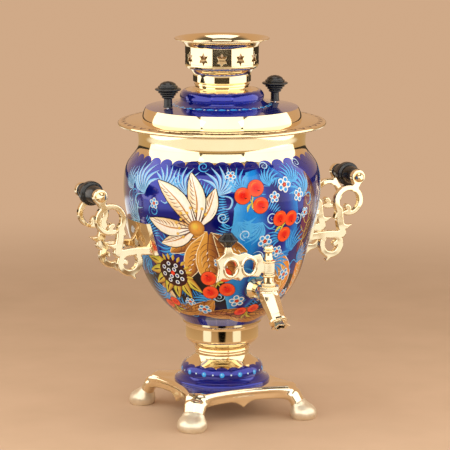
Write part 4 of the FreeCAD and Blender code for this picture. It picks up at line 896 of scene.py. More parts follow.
def make_tap():
    low = (-12.0, -TAP_REACH - 38.0, TAP_HEIGHT - 40.0)
    high = (12.0, -TAP_REACH + 49.0, TAP_HEIGHT + 9.5)
    mesh = carved_mesh("faceted_tap", tap_field, low, high, 0.6, CAST)
    shown("faceted_tap", mesh, FIXED, ["tap_body"])
    low = (-57.0, -TAP_REACH - 7.2, 155.0)
    high = (7.2, -TAP_REACH + 7.2, 201.5)
    mesh = carved_mesh("pierced_key", key_field, low, high, 0.55, CAST)
    shown("pierced_key", mesh, KEY, ["tap_handle"])
    plug = [(0.0, -13.4), (5.4, -13.4), (6.55, 0.0), (7.4, 0.5), (7.4, 2.4, 0.5), (6.2, 3.2), (5.4, 4.2)]
    plug += [(5.1, 8.4), (6.7, 9.2, 0.7), (6.7, 11.2), (5.9, 11.8), (5.9, 13.0), (4.4, 13.0), (4.4, 23.0)]
    plug += [(6.4, 23.0, 0.7), (6.4, 25.2), (4.7, 26.0, -0.08), (3.7, 32.6), (5.1, 33.6, 0.6), (5.1, 35.6)]
    plug += [(4.0, 36.4), (4.9, 37.2, 0.35), (2.2, 40.4, 0.1), (0.0, 40.5)]
    move = Matrix.Translation((0, -TAP_REACH * MM, (TAP_HEIGHT + BARREL_HALF) * MM))
    lathe("turned_plug", plug, [BRASS], KEY, ["tap_plug"], move, SMALL_SEGMENTS)
    knob_low, knob_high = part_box("tap_knob")
    knob = [(2.02, 0.0), (3.6, 0.0, 0.3), (4.0, 1.2), (9.0, 5.9, 0.5), (9.8, 7.0, 0.3), (9.0, 8.3)]
    knob += [(5.2, 12.2, -0.1), (4.4, 13.2, 0.4), (3.0, 14.0), (0.0, 14.0)]
    middle = (knob_low + knob_high) / 2
    move = Matrix.Translation((middle.x, middle.y, knob_low.z))
    lathe("turned_tap_knob", knob, [EBONY], KEY, ["tap_knob"], move, SMALL_SEGMENTS)


# crown

CROWN_BASE = base_of("crown")
CROWN_SIDES = (23.7, 41.0)
CROWN_RADIUS = 36.5
CROWN_WALL = 1.1
STAR_COUNT = 12
STAR_POINTS = 6
STAR_MIDDLE = 30.0
STAR_HALF = (4.6, 6.4)
STAR_WAIST = 0.56


def star_outline():
    """Six-pointed star, by its place along the wall and its height."""
    corners = []
    for step in range(2 * STAR_POINTS):
        share = STAR_WAIST if step % 2 else 1.0
        x, y = polar(share, 90 + 180 / STAR_POINTS * step)
        corners.append((STAR_HALF[0] / math.cos(math.pi / STAR_POINTS) * x, STAR_MIDDLE + STAR_HALF[1] * y))
    return corners


def crown_field(points):
    """Wall of the crown, pierced by a ring of stars."""
    sector = FULL_TURN / STAR_COUNT
    turn = np.arctan2(points[:, 1], points[:, 0]) - FACING
    turn = (turn + sector / 2) % sector - sector / 2
    height = points[:, 2]
    depth = np.abs(np.hypot(points[:, 0], points[:, 1]) - CROWN_RADIUS + CROWN_WALL / 2)
    low, high = CROWN_SIDES
    wall = drum(depth, CROWN_WALL / 2, height - (low + high) / 2, (high - low) / 2)
    star = polygon_gap(np.stack([turn * CROWN_RADIUS, height], 1), star_outline())
    return np.maximum(wall, -star)


def make_crown():
    below = [
        (24.95, 13.3),
        (24.95, 0.0),
        (26.4, 0.0),
        (26.4, 1.2, 0.6),
        (26.4, 4.4, -0.2),
        (28.0, 5.4),
        (28.7, 5.8),
        (28.7, 11.8, -0.05),
        (28.9, 13.4, -0.2),
        (34.8, 19.0, 0.2),
        (36.5, CROWN_SIDES[0]),
        (35.4, CROWN_SIDES[0], -0.2, 1),
        (33.7, 20.1),
        (27.2, 13.3),
        (24.95, 13.3),
    ]
    # the foot's faces inside the crown take the darker brass, painted shade inside the cup
    lathe("crown_foot", lifted(below, CROWN_BASE), [BRASS, SHADED_INSIDE], CROWN, ["crown"])
    above = [
        (35.4, CROWN_SIDES[1]),
        (36.5, CROWN_SIDES[1], -0.15),
        (39.4, 44.4, -0.16),
        (46.4, 47.3, 0.9),
        (46.6, 48.5),
        (45.6, 48.5, 0.16),
        (38.6, 45.4, 0.15),
        (35.4, CROWN_SIDES[1]),
    ]
    lathe("crown_lip", lifted(above, CROWN_BASE), [BRASS], CROWN, [])
    reach = CROWN_RADIUS + 1.5
    low = (-reach, -reach, CROWN_SIDES[0] - 0.6)
    high = (reach, reach, CROWN_SIDES[1] + 0.6)
    mesh = carved_mesh("crown_wall", crown_field, low, high, 0.42, BRASS)
    # faces on the inside of the pierced wall take the darker brass, painted shade inside the crown
    mesh.materials.append(SHADED_INSIDE)
    middle = (CROWN_RADIUS - CROWN_WALL / 2) * MM
    for face in mesh.polygons:
        face.material_index = int(face.center.xy.length < middle)
    mesh.transform(Matrix.Translation((0, 0, CROWN_BASE * MM)))
    shown("crown_wall", mesh, CROWN)


# painting


def rounded(path, rounds=3):
    """Path with its corners cut off again and again, its ends kept."""
    line = np.array(path, float)
    for _ in range(rounds):
        near = line[:-1] * 0.75 + line[1:] * 0.25
        far = line[:-1] * 0.25 + line[1:] * 0.75
        inner = np.stack([near, far], 1).reshape(-1, 2)
        line = np.concatenate([line[:1], inner[1:-1], line[-1:]])
    return line


def blended(colours, shares):
    """Colours at some shares of the way along a row of evenly spaced colours."""
    row = np.array(colours, float)
    knots = np.linspace(0, 1, len(row))
    return np.stack([np.interp(shares, knots, row[:, channel]) for channel in range(3)], -1)


class Canvas:
    """Brush strokes laid on a turned skin, each layer a little above the one before."""

    LIFT = 0.06
    LAYER = 0.016
    STEP = 1.8
    LEAST_STEPS = 5.5
    COLUMN = 4.0
    RING = 2.0
    DISC_SIDES = 20
    DISC_CORE = 0.02

    def __init__(self, skin):
        self.skin = skin
        self.points, self.normals, self.colours, self.faces = [], [], [], []
        self.count = 0

    def at(self, angle, height, turn=0.0, size=1.0, flip=1):
        """Set the place, turn, size and side of the strokes that follow."""
        self.angle = FACING + math.radians(angle)
        self.run = self.skin.run_at(height)
        self.start = turn
        self.size = size
        self.flip = flip
        self.face(0)

    def face(self, turn):
        """Turn the strokes that follow, from the turn set with their place."""
        self.turn = math.radians(self.start + turn)

    def add(self, across, up, colours, layer):
        """Lay a grid of spots, given to the right of and above the place that was set."""
        level, tilt = math.cos(self.turn), math.sin(self.turn)
        right = (across * level - up * tilt) * self.size * self.flip
        run = np.clip(self.run + (across * tilt + up * level) * self.size, 0, self.skin.run[-1])
        angle = self.angle + right / self.skin.radii(run)
        spots, normals = self.skin.lifted(angle, run, self.LIFT + self.LAYER * layer)
        rows, columns = across.shape
        number = self.count + np.arange(rows * columns).reshape(rows, columns)
        quads = np.stack([number[:-1, :-1], number[:-1, 1:], number[1:, 1:], number[1:, :-1]], -1)
        row, column = rows // 2, columns // 2
        beside = spots[row, column] - spots[row, column - 1]
        ahead = spots[row, column] - spots[row - 1, column]
        if np.cross(beside, ahead) @ normals[row, column] < 0:
            quads = quads[..., ::-1]
        self.points.append(spots.reshape(-1, 3))
        self.normals.append(normals.reshape(-1, 3))
        self.colours.append(colours.reshape(-1, 3))
        self.faces.append(quads.reshape(-1, 4))
        self.count += rows * columns

    def stroke(self, path, widths, colours, layer, ends=None):
        """Brush stroke along a path, with its colours from left to right."""
        line = rounded(path)
        length = np.hypot(*np.diff(line, axis=0).T).sum()
        line = resampled(line, min(self.STEP / self.size, length / self.LEAST_STEPS))
        share = np.linspace(0, 1, len(line))
        width = np.interp(share, np.linspace(0, 1, len(widths)), widths)[:, None]
        way = np.gradient(line, axis=0)
        way /= np.maximum(np.hypot(*way.T), 1e-9)[:, None]
        columns = 2 * max(1, math.ceil(max(widths) * self.size / self.COLUMN / 2)) + 1
        side = np.linspace(-0.5, 0.5, columns)
        across = line[:, :1] + way[:, 1:] * side * width
        up = line[:, 1:] - way[:, :1] * side * width
        mix = share[:, None, None]
        tint = blended(colours, side + 0.5) * (1 - mix) + blended(ends or colours, side + 0.5) * mix
        self.add(across, up, tint, layer)

    def disc(self, x, y, radius, colours, layer, squash=1.0):
        """Round or oval dab, with its colours from the middle outwards."""
        rings = max(2, math.ceil(radius * self.size / self.RING))
        share = np.linspace(self.DISC_CORE, 1, rings + 1)[:, None]
        around = np.linspace(0, FULL_TURN, self.DISC_SIDES + 1)[None]
        across = x + radius * share * np.cos(around)
        up = y + radius * squash * share * np.sin(around)
        tint = np.repeat(blended(colours, share[:, 0])[:, None], across.shape[1], 1)
        self.add(across, up, tint, layer)

    def show(self, name, body, finish=PAINT):
        mesh = bpy.data.meshes.new(name)
        mesh.from_pydata(np.concatenate(self.points).tolist(), [], np.concatenate(self.faces).tolist())
        paint = mesh.attributes.new("paint", "FLOAT_COLOR", "POINT")
        colours = np.concatenate(self.colours)
        paint.data.foreach_set("color", np.c_[colours, np.ones(len(colours))].ravel())
        mesh.shade_smooth()
        mesh.normals_split_custom_set_from_vertices(np.concatenate(self.normals).tolist())
        mesh.materials.append(finish)
        shown(name, mesh, body)


CURL_WIDTH = 1.4
PLUME_STROKES = 7
COMB_PITCH = 2.3


def curl(canvas, size, turns, colour, layer):
    """Thin spiral that starts at the place set and winds inwards."""
    steps = int(14 * turns)
    path = []
    for step in range(steps + 1):
        x, y = polar(size * (1 - 0.85 * step / steps), 180 - 360 * turns * step / steps)
        path.append((size + x, y))
    canvas.stroke(path, [0.3, CURL_WIDTH, CURL_WIDTH * 0.7, 0.4], [colour], layer)


def plume(canvas, length, colour, tip, layer, lean):
    """Tuft of comma strokes that fan out from one spot and sweep to one side."""
    widths = [0.3, length * 0.05, length * 0.105, length * 0.07, 0.2]
    for step in range(PLUME_STROKES):
        share = step / (PLUME_STROKES - 1)
        turn = 90 + lean * (50 - 95 * share)
        reach = length * (0.62 + 0.38 * math.sin(math.pi * (0.15 + 0.75 * share)))
        path = [(0, 0), polar(reach * 0.55, turn), polar(reach, turn - lean * 26)]
        canvas.stroke(path, widths, [colour, tip], layer + step % 3)
    hook = [(0, 0)]
    for share, turn in ((0.5, 74), (0.62, 118), (0.44, 140)):
        hook.append(polar(length * share, 90 + lean * turn))
    canvas.stroke(hook, [0.3, length * 0.05, length * 0.07, 0.4], [colour, tip], layer + 1)


def comb(canvas, count, length, colour, layer):
    """Row of short comma strokes side by side, longest in the middle."""
    for step in range(count):
        share = step / (count - 1)
        reach = length * (0.5 + 0.5 * math.sin(math.pi * share))
        x = COMB_PITCH * (step - (count - 1) / 2)
        lean = (share - 0.5) * reach * 0.9
        path = [(x, 0), (x + lean * 0.3, reach * 0.6), (x + lean, reach)]
        canvas.stroke(path, [0.3, 1.5, 1.1, 0.2], [colour], layer)


LEAF_SHAPE = (0.35, 0.62, 0.9, 1.0, 0.88, 0.56, 0.05)


def leaf(canvas, length, width, colours, layer, bend, vein, edge):
    """Pointed leaf in several tones, with an optional edge line and veins."""
    path = [(0, 0), (bend * length, length * 0.5), (bend * length * 0.4, length)]
    if edge:
        canvas.stroke(path, [width * share + 1.4 for share in LEAF_SHAPE], [edge], layer)
    canvas.stroke(path, [width * share for share in LEAF_SHAPE], colours, layer + 1)
    if vein:
        canvas.stroke(path, [1.0, 0.8, 0.5, 0.2], [vein], layer + 2)
        for step in range(6):
            height = length * (0.14 + 0.11 * step)
            middle = bend * length * 0.62 * math.sin(math.pi * height / length)
            for side in (-1, 1):
                end = (middle + side * width * (0.42 - 0.04 * step), height + length * 0.13)
                bow = (middle + side * width * 0.2, height + length * 0.03)
                canvas.stroke([(middle, height), bow, end], [0.3, 0.7, 0.15], [vein], layer + 2)


def berry(canvas, x, y, radius, layer):
    """Round red berry with a lit side and thin strokes along its edge."""
    canvas.disc(x, y, radius + 0.5, [MAROON, BROWN], layer)
    canvas.disc(x, y, radius, [RED, RED, SCARLET, SCARLET], layer + 1)
    lit = [(x + dx * radius, y + dy * radius) for dx, dy in ((-0.62, 0.05), (-0.42, 0.58), (0.12, 0.66))]
    canvas.stroke(lit, [0.2, radius * 0.22, 0.2], [ORANGE, SCARLET], layer + 2)
    eye = [(x + dx * radius, y + dy * radius) for dx, dy in ((0.15, -0.2), (0.36, -0.36), (0.56, -0.24))]
    canvas.stroke(eye, [0.2, radius * 0.12, 0.2], [MAROON], layer + 2)


def cluster(canvas, spots, radius, layer):
    """Berries on thin stems that meet in a pair of small leaves."""
    for x, y in spots:
        canvas.stroke([(0, 0), (x * 0.3, y * 0.7), (x, y)], [1.2, 0.9, 0.7], [LEAF, LEMON], layer)
    for turn in (-150, 150):
        path = [(0, 0), polar(5, turn + 70), polar(10, turn + 95)]
        canvas.stroke(path, [0.4, 3.2, 0.3], [LEAF, LEMON], layer + 1)
    for x, y in spots:
        berry(canvas, x, y, radius, layer + 1)


def ring_flower(canvas, size, layer):
    """Five round petals, each a pale ring round a blue middle."""
    for step in range(5):
        x, y = polar(size * 0.66, 90 + 72 * step)
        canvas.disc(x, y, size * 0.40, [ICE, ICE, WHITE], layer)
        canvas.disc(x, y, size * 0.25, [AZURE, SKY], layer + 1)
    canvas.disc(0, 0, size * 0.29, [SCARLET, RED, BROWN], layer + 2)
    canvas.disc(0, 0, size * 0.1, [ORANGE, SCARLET], layer + 3)


# turn, length and width
LILY_PETALS = ((196, 38, 13), (58, 38, 13), (164, 46, 15), (90, 47, 15), (127, 52, 16))
GOLD_LEAVES = ((-150, 40, 17), (-24, 36, 16), (-58, 48, 19), (-112, 46, 18), (-84, 50, 20))
LILY_MIDDLE = 127


def lily(canvas, layer):
    """Large flower of long white petals with gold sides and fine strokes."""
    for step, (turn, length, width) in enumerate(LILY_PETALS):
        canvas.face(turn - 90)
        bend = -0.12 if turn > LILY_MIDDLE else 0.12
        level = layer + 3 * step
        path = [(0, 2), (bend * length, length * 0.5), (bend * length * 0.3, length)]
        canvas.stroke(path, [width * share + 1.6 for share in LEAF_SHAPE], [BLACK], level)
        tones = [GOLD, CREAM, WHITE, WHITE] if bend > 0 else [WHITE, WHITE, CREAM, GOLD]
        ends = [CREAM, WHITE, WHITE, CREAM]
        canvas.stroke(path, [width * share for share in LEAF_SHAPE], tones, level + 1, ends)
        side = -1 if bend > 0 else 1
        for line in range(9):
            along = length * (0.2 + 0.075 * line)
            middle = bend * length * 0.62 * math.sin(math.pi * along / length)
            reach = side * width * (0.45 - 0.04 * line)
            hatch = [(middle, along), (middle + reach * 0.6, along + 1.5), (middle + reach, along + 5)]
            canvas.stroke(hatch, [0.2, 0.9, 0.2], [BROWN if line % 2 else OCHRE], level + 2)
        canvas.stroke(path, [0.3, 1.4, 0.9, 0.2], [GOLD, OCHRE], level + 2)
    canvas.face(0)
    top = layer + 3 * len(LILY_PETALS)
    for step in range(11):
        spot = polar(15 + 3 * (step % 2), 48 + 16 * step)
        canvas.stroke([(0, 0), (spot[0] * 0.6, spot[1] * 0.5), spot], [0.3, 0.9, 0.5], [MAROON, BROWN], top)
        canvas.disc(*spot, 1.3, [LEMON, GOLD], top + 1)
    canvas.disc(0, 0, 7, [ORANGE, GOLD, OCHRE], top + 1)
    canvas.disc(-1, 1.5, 3.5, [LEMON, GOLD], top + 2)


def gold_leaves(canvas, layer):
    """Broad gold leaves that spread below the large flower."""
    for step, (turn, length, width) in enumerate(GOLD_LEAVES):
        canvas.face(turn - 90)
        level = layer + 3 * step
        leaf(canvas, length, width, [BROWN, OCHRE, GOLD, GOLD], level, 0.1, BROWN, CREAM)
        for line in range(5):
            along = length * (0.3 + 0.12 * line)
            canvas.stroke([(2.5, along), (4.5, along + 3)], [0.2, 0.8, 0.2], [WHITE], level + 3)
    canvas.face(0)


SCALE_ORDER = (0, 6, 1, 5, 2, 4, 3)
BUD_HEIGHT = 6
BUD_SQUASH = 0.85


def thistle(canvas, layer):
    """Dark bud with rows of yellow scales and pale ringed dots in its middle."""
    for step in SCALE_ORDER:
        canvas.face((step - 3) * 24)
        level = layer + 2 * min(step, 6 - step)
        leaf(canvas, 30, 9, [OCHRE, LEMON, LEAF], level, 0.0, None, MAROON)
        canvas.stroke([(0, 17), (0.4, 22), (0, 27)], [0.4, 1.5, 0.2], [MAROON], level + 2)
    canvas.face(0)
    canvas.disc(0, BUD_HEIGHT, 14, [BLACK, BLACK, MAROON], layer + 9, BUD_SQUASH)
    for ring, turns in ((4.4, range(0, 360, 90)), (9.4, range(180, 540, 45))):
        for turn in turns:
            x, y = polar(ring, turn)
            canvas.disc(x, BUD_HEIGHT + y * BUD_SQUASH, 1.9, [SKY, ICE, WHITE], layer + 10)
            canvas.disc(x, BUD_HEIGHT + y * BUD_SQUASH, 1.0, [MAROON, ULTRA], layer + 11)
    canvas.disc(0, BUD_HEIGHT, 2.0, [SCARLET, RED], layer + 10)
    for step in range(9):
        x, y = polar(15.5, 200 + 17.5 * step)
        path = [(x * out, BUD_HEIGHT + y * up) for out, up in ((0.85, 0.75), (1.0, 0.9), (1.2, 1.12))]
        canvas.stroke(path, [1.0, 3.4, 0.4], [LEMON, OCHRE], layer + 11)


# angle, height, turn, length and lean
PLUMES = (
    (-50, 234, 24, 34, 1), (-37, 241, -40, 26, -1), (-20, 238, 30, 28, 1), (-2, 238, -24, 30, -1),
    (-57, 206, 64, 28, 1), (-54, 168, 110, 26, -1), (12, 243, 50, 24, 1), (-46, 136, 120, 26, 1),
    (42, 246, -34, 22, -1), (6, 174, 100, 32, 1), (33, 164, -64, 26, 1), (51, 176, 14, 26, 1),
    (53, 230, 4, 28, -1), (-6, 124, 80, 28, -1), (24, 210, 150, 28, 1), (38, 128, -120, 24, -1),
    (9, 212, -150, 26, -1), (28, 245, 10, 20, 1), (-30, 186, 120, 24, 1), (40, 190, 60, 22, -1),
    (18, 150, -100, 24, 1), (-30, 116, 70, 22, 1), (62, 160, -20, 24, 1), (-62, 236, 40, 24, 1),
)
# angle, height, turn, size and number of turns
CURLS = (
    (-46, 214, 40, 7, 1.6), (-28, 256, -70, 6, 1.6), (8, 232, 20, 6, 1.6), (34, 216, 200, 7, 1.7),
    (14, 192, 90, 6, 1.6), (46, 208, 0, 7, 1.7), (-56, 152, 150, 7, 1.6), (30, 142, 30, 6, 1.6),
    (4, 216, 180, 6, 1.6), (-12, 150, 60, 6, 1.6), (54, 258, 90, 6, 1.6), (20, 178, -40, 7, 1.7),
    (-8, 262, 160, 6, 1.6), (24, 262, 20, 5, 1.6), (-60, 226, 80, 6, 1.6), (2, 134, 200, 6, 1.6),
)
# angle, height, turn, number of strokes and length
COMBS = (
    (4, 196, 84, 11, 14), (3, 226, 100, 10, 13), (8, 160, 76, 10, 13), (-48, 200, -60, 9, 12),
    (36, 252, 170, 9, 11), (16, 136, 120, 9, 12), (44, 186, -80, 9, 12), (-40, 148, 40, 9, 12),
    (-12, 238, -10, 10, 13), (28, 222, -30, 9, 11), (30, 120, 60, 9, 11), (-24, 140, 190, 9, 12),
)
# angle, height, turn, places of the berries and their radius
BERRIES = (
    (17, 230, 0, ((-9, 7), (4, 14), (9, -3)), 8.0),
    (38, 204, -30, ((-8, 5), (5, 11), (8, -6)), 7.7),
    (-3, 148, 160, ((-11, 4), (3, 13), (10, -2), (-3, -11)), 7.6),
    (25, 112, 10, ((-7, 6), (6, 7)), 6.0),
    (-46, 118, 30, ((-6, 6), (6, 5)), 5.6),
)
# angle, height and size
FLOWERS = (
    (38, 245, 7.6), (49, 233, 6.6), (31, 234, 5.6), (27, 190, 7.2), (37, 178, 6.0), (12, 128, 7.4),
    (21, 138, 5.6), (-42, 226, 5.4), (-52, 188, 6.4), (-16, 118, 6.8), (-27, 126, 5.4), (48, 152, 6.6),
    (43, 138, 5.4), (56, 214, 5.4), (5, 256, 5.0), (-2, 170, 5.0), (58, 130, 5.6), (33, 150, 4.6),
)
# angle, height, turn, length, width, tones and colour of the veins
TALL_LEAVES = (
    (60, 172, 6, 84, 27, (PLUM, PLUM, MAROON), LEMON), (50, 126, 20, 58, 22, (OCHRE, GOLD, ORANGE), CREAM),
    (68, 126, 10, 60, 20, (ORANGE, GOLD, OCHRE), WHITE), (76, 192, -8, 66, 18, (ULTRA, AZURE, SKY), ICE),
    (-58, 108, -16, 52, 18, (OCHRE, GOLD, CREAM), WHITE), (-74, 150, -6, 60, 18, (ULTRA, AZURE, SKY), ICE),
)
# angle, turn and length
LOW_LEAVES = ((-40, -58, 46), (-20, -76, 50), (2, -98, 46), (30, -82, 42), (-56, -66, 38), (48, -96, 38))
LOW_LEAF_HEIGHT = 112
PALE_HEIGHT = 190

# layers of the painting, from the lacquer outwards
GROUND_LAYER = 0
PANEL_LAYER = 1
TALL_LEAF_LAYER = 2
PLUME_LAYER = 6
COMB_LAYER = 7
CURL_LAYER = 8
LOW_LEAF_LAYER = 8
GOLD_LEAF_LAYER = 9
LILY_LAYER = 22
FLOWER_LAYER = 26
BERRY_LAYER = 30


def bouquet(canvas, middle, flip):
    """One side of the tank: a large pale flower, a bright panel with berries, small flowers and sprays."""

    def at(angle, height, turn=0.0, size=1.0):
        canvas.at(middle + flip * angle, height, turn, size, flip)

    at(-4, 132)
    ground = [(-104, 10), (-52, -2), (0, -6), (52, 0), (104, 12)]
    canvas.stroke(ground, [8, 52, 66, 64, 50, 8], [BLACK, BLACK, DEEP], GROUND_LAYER)
    at(27, 186)
    panel = [(-16, -82), (-14, -40), (2, 0), (2, 40), (-8, 78)]
    tones = [SKY, AZURE, AZURE, ULTRA, DEEP, ULTRA, AZURE]
    canvas.stroke(panel, [10, 40, 62, 76, 70, 26], tones, PANEL_LAYER)
    for angle, height, turn, length, width, tones, vein in TALL_LEAVES:
        at(angle, height, turn)
        leaf(canvas, length, width, tones, TALL_LEAF_LAYER, 0.12, vein, WHITE if vein == CREAM else None)
    for angle, height, turn, length, lean in PLUMES:
        at(angle, height, turn)
        tones = (SKY, ICE if angle < 0 else SKY) if height > PALE_HEIGHT else (AZURE, SKY)
        plume(canvas, length, *tones, PLUME_LAYER, lean)
    for angle, height, turn, size, turns in CURLS:
        at(angle, height, turn)
        curl(canvas, size, turns, SKY if angle < 0 else ICE, CURL_LAYER)
    for angle, height, turn, count, length in COMBS:
        at(angle, height, turn)
        comb(canvas, count, length, SKY if height > PALE_HEIGHT else AZURE, COMB_LAYER)
    for angle, turn, length in LOW_LEAVES:
        at(angle, LOW_LEAF_HEIGHT, turn)
        leaf(canvas, length, 16, [BROWN, OCHRE, GOLD, OCHRE], LOW_LEAF_LAYER, 0.16, MAROON, GOLD)
    at(-8, 198, 0, 1.15)
    gold_leaves(canvas, GOLD_LEAF_LAYER)
    at(-15, 205, 8, 1.16)
    lily(canvas, LILY_LAYER)
    at(-33, 162, 150, 1.2)
    thistle(canvas, FLOWER_LAYER)
    for angle, height, size in FLOWERS:
        at(angle, height, angle * 7)
        ring_flower(canvas, size, FLOWER_LAYER)
    for angle, height, turn, spots, radius in BERRIES:
        at(angle, height, turn)
        cluster(canvas, spots, radius, BERRY_LAYER)


def paint_tank():
    for name, middle, flip in (("front", 0, 1), ("rear", 180, -1)):
        canvas = Canvas(TANK)
        bouquet(canvas, middle, flip)
        canvas.show(f"{name}_painting", FIXED)


def scallops(name, skin, count, height, radius, squash, body):
    """Scalloped edge of the blue."""
    canvas = Canvas(skin)
    for step in range(count):
        canvas.at(360 * step / count, height)
        canvas.disc(0, 0, radius, [DEEP, DEEP], step % 2, squash)
    canvas.show(name, body, LACQUER)


# name, skin, count, height, radius, squash and body
SCALLOPS = (
    ("neck_scallops", TANK, 38, TANK_BASE + PAINT_TOP, 7.2, 0.82, FIXED),
    ("pedestal_scallops", PEDESTAL, 20, PEDESTAL_BASE + 17.4, 6.1, 0.6, FIXED),
    ("lid_scallops", LID_SKIN, 24, LID_SEAT + 28.8, 5.2, 0.5, LID),
)
DOT_COUNT = 14
DOT_HEIGHT = PEDESTAL_BASE + 12.6
DASH_COUNT = 26
DASH_HEIGHT = LID_SEAT + 14.5
MARK_COUNT = 48
MARK_HEIGHT = RIM_TOP - 1.75
MARK_TURN = 38


def paint_borders():
    """Scalloped edges of the blue, and rings of dots, dashes and leaf marks."""
    for edge in SCALLOPS:
        scallops(*edge)
    canvas = Canvas(PEDESTAL)
    for step in range(DOT_COUNT):
        canvas.at(360 * step / DOT_COUNT, DOT_HEIGHT)
        canvas.disc(0, 0, 2.5, [SKY, SKY, AZURE], 2)
        canvas.disc(-0.5, 0.6, 1.0, [ICE, SKY], 3)
        canvas.at(360 * (step + 0.5) / DOT_COUNT, DOT_HEIGHT)
        canvas.disc(0, 0, 0.9, [WHITE, ICE], 2)
    canvas.show("pedestal_border", FIXED)
    canvas = Canvas(LID_SKIN)
    for step in range(DASH_COUNT):
        canvas.at(360 * step / DASH_COUNT, DASH_HEIGHT)
        canvas.stroke([(-3.6, 0), (0, 0.3), (3.6, 0)], [2.0, 4.4, 4.0, 2.0], [SKY, AZURE], 1)
        canvas.at(360 * (step + 0.5) / DASH_COUNT, DASH_HEIGHT)
        canvas.disc(0, 0, 1.3, [WHITE, ICE], 1)
    canvas.show("lid_border", LID)
    canvas = Canvas(RIM_SKIN)
    for step in range(MARK_COUNT):
        canvas.at(360 * step / MARK_COUNT, MARK_HEIGHT)
        for turn in (-MARK_TURN, MARK_TURN):
            canvas.face(turn)
            canvas.stroke([(0, 0), (0.8, 3.0), (0, 6.4)], [0.5, 2.4, 0.2], [MAROON, BROWN], 1)
    canvas.show("rim_border", FIXED)


finish_frame()
make_tank()
make_turned_base()
make_rim()
make_lid()
make_knobs()
make_grips()
make_brackets()
make_stand()
make_tap()
make_crown()
paint_tank()
paint_borders()


# stage, light and camera

STAGE_TONE = (0.63, 0.40, 0.245)
FRONT_TONE = (0.144, 0.12, 0.096)
CLOTH_TONES = ((0.57, 0.39, 0.25), (0.61, 0.42, 0.275))
FLOOR_HALF = 9.0
FLOOR_LIT = (0.45, 1.2)

# what the metal mirrors of the floor: cloth, a dark gap, two pale patches, a pale and a gold ring
CLOTH_EDGE = (0.28, 0.34)
GAP_EDGE = (0.07, 0.11)
GAP_REACH = 0.44
PATCH_ASIDE = (-0.30, 0.30)
PATCH_TOWARD = 0.29
PATCH_EDGE = (0.08, 0.11)
PALE_CARD = (1.15, 1.10, 1.0)
GOLD_CARD = (0.54, 0.36, 0.18)
RING_SPAN = 3.0
RING_TONES = (
    (0.11, (0.64, 0.43, 0.25)),
    (0.17, (0.34, 0.20, 0.10)),
    (0.22, (0.30, 0.18, 0.09)),
    (0.26, PALE_CARD),
    (0.36, PALE_CARD),
    (0.40, GOLD_CARD),
    (0.78, GOLD_CARD),
    (0.84, (0.05, 0.04, 0.03)),
)


def from_camera(right, toward, up):
    """Place by its distance to the right of, in front of and above the foot of the samovar."""
    ahead = Vector((math.cos(FACING), math.sin(FACING), 0))
    across = Vector((-ahead.y, ahead.x, 0))
    return across * right + ahead * toward + Vector((0, 0, up))


def away_from(recipe, spot, limits=None):
    """Distance from a spot, or its share of the way between two limits."""
    gap = recipe.node("ShaderNodeVectorMath", operation="DISTANCE")
    gap.inputs[1].default_value = spot
    recipe.join(recipe.place(), gap.inputs[0])
    distance = gap.outputs["Value"]
    return recipe.mapped(distance, limits, kind="SMOOTHSTEP") if limits else distance


def mirrored_floor(recipe):
    """What the metal mirrors of the floor beyond the cloth."""
    sides = recipe.node("ShaderNodeMath", operation="MULTIPLY")
    for target, aside in zip(sides.inputs, PATCH_ASIDE):
        recipe.join(away_from(recipe, from_camera(aside, PATCH_TOWARD, 0), PATCH_EDGE), target)
    reach = recipe.mapped(away_from(recipe, (0, 0, 0)), (0, RING_SPAN))
    rings = recipe.ramp(reach, *RING_TONES)
    card = recipe.node("ShaderNodeEmission")
    recipe.join(recipe.mixed_colours(sides.outputs["Value"], (*PALE_CARD, 1), rings), card.inputs["Color"])
    gap = away_from(recipe, from_camera(0, GAP_REACH, 0), GAP_EDGE)
    recipe.join(gap, card.inputs["Strength"])
    return card.outputs["Emission"]


def stage_floor():
    """Wide pale floor, of one tone further out, with pale cards on it for the metal to show."""
    recipe = Recipe(bpy.data.materials.new("pale_floor_finish"))
    recipe.set(Base_Color=recipe.tones(recipe.noise(scale=14.0, detail=3.0), *CLOTH_TONES), Roughness=0.9)
    lit = recipe.shader.outputs["BSDF"]
    glow = recipe.node("ShaderNodeEmission", Color=(*STAGE_TONE, 1)).outputs["Emission"]
    path = recipe.node("ShaderNodeLightPath").outputs
    seen = recipe.mixed(away_from(recipe, (0, 0, 0), FLOOR_LIT), lit, glow)
    mirrored = recipe.mixed(away_from(recipe, (0, 0, 0), CLOTH_EDGE), lit, mirrored_floor(recipe))
    other = recipe.mixed(path["Is Glossy Ray"], lit, mirrored)
    whole = recipe.mixed(path["Is Camera Ray"], other, seen)
    recipe.join(whole, recipe.tree.nodes["Material Output"].inputs["Surface"])
    mesh = bpy.data.meshes.new("pale_floor")
    corners = ((-1, -1), (1, -1), (1, 1), (-1, 1))
    mesh.from_pydata([(FLOOR_HALF * x, FLOOR_HALF * y, 0) for x, y in corners], [], [(0, 1, 2, 3)])
    mesh.materials.append(recipe.owner)
    floor = bpy.data.objects.new("pale_floor", mesh)
    bpy.context.scene.collection.objects.link(floor)


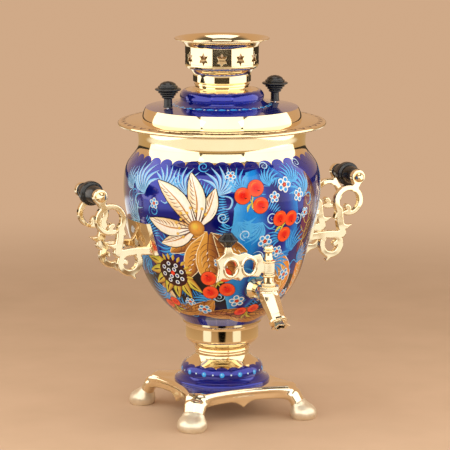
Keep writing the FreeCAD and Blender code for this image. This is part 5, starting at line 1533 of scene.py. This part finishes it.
# name, place and aim as seen from the camera, width and height in metres, power in watts
SOFT_BOXES = (
    ("left_box", (-0.62, 0.30, 0.50), (0, 0.18, 0.40), 1.3, 0.84, 6.0),
    ("right_box", (0.62, 0.30, 0.50), (0, 0.18, 0.40), 1.3, 0.84, 6.0),
    ("front_box", (0, 1.35, 0.91), (0, 0, 0.3), 1.6, 1.54, 13.5),
    ("top_box", (0, -0.1, 1.7), (0, 0, 0.2), 0.9, 0.9, 5.0),
)
LIGHT_TONE = (1.0, 0.96, 0.90)


def aimed(piece, place, target):
    """Link a light or a camera into the scene, at a place and turned towards a target."""
    piece.location = from_camera(*place)
    way = from_camera(*target) - piece.location
    piece.rotation_euler = way.to_track_quat("-Z", "Y").to_euler()
    bpy.context.scene.collection.objects.link(piece)


def light_scene():
    for name, place, target, width, height, power in SOFT_BOXES:
        light = bpy.data.lights.new(name, "AREA")
        light.shape = "RECTANGLE"
        light.size = width
        light.size_y = height
        light.energy = power
        light.color = LIGHT_TONE
        aimed(bpy.data.objects.new(name, light), place, target)


def studio_world():
    """Pale room behind the samovar, seen from the camera, and a dim one in front of it."""
    world = bpy.data.worlds.new("studio")
    bpy.context.scene.world = world
    recipe = Recipe(world)
    behind = recipe.node("ShaderNodeVectorMath", operation="DOT_PRODUCT")
    behind.inputs[1].default_value = -from_camera(0, 1, 0)
    recipe.join(recipe.place("Generated"), behind.inputs[0])
    tone = recipe.ramp(behind.outputs["Value"], (0.1, FRONT_TONE), (0.45, STAGE_TONE))
    room = recipe.tree.nodes["Background"]
    recipe.join(tone, room.inputs["Color"])
    seen = recipe.node("ShaderNodeBackground", Color=(*STAGE_TONE, 1))
    to_camera = recipe.node("ShaderNodeLightPath").outputs["Is Camera Ray"]
    whole = recipe.mixed(to_camera, room.outputs["Background"], seen.outputs["Background"])
    recipe.join(whole, recipe.tree.nodes["World Output"].inputs["Surface"])


CAMERA_PLACE = (0, 2.5, 0.65)
CAMERA_AIM = (0.003, 0, 0.191)
LENS = 203.0
SENSOR = 36.0
CLIP_END = 20.0


def place_camera():
    camera = bpy.data.cameras.new("photo_camera")
    camera.lens = LENS
    camera.sensor_width = SENSOR
    camera.clip_end = CLIP_END
    view = bpy.data.objects.new("photo_camera", camera)
    aimed(view, CAMERA_PLACE, CAMERA_AIM)
    bpy.context.scene.camera = view


stage_floor()
light_scene()
studio_world()
place_camera()
bpy.context.scene.view_settings.view_transform = "Standard"
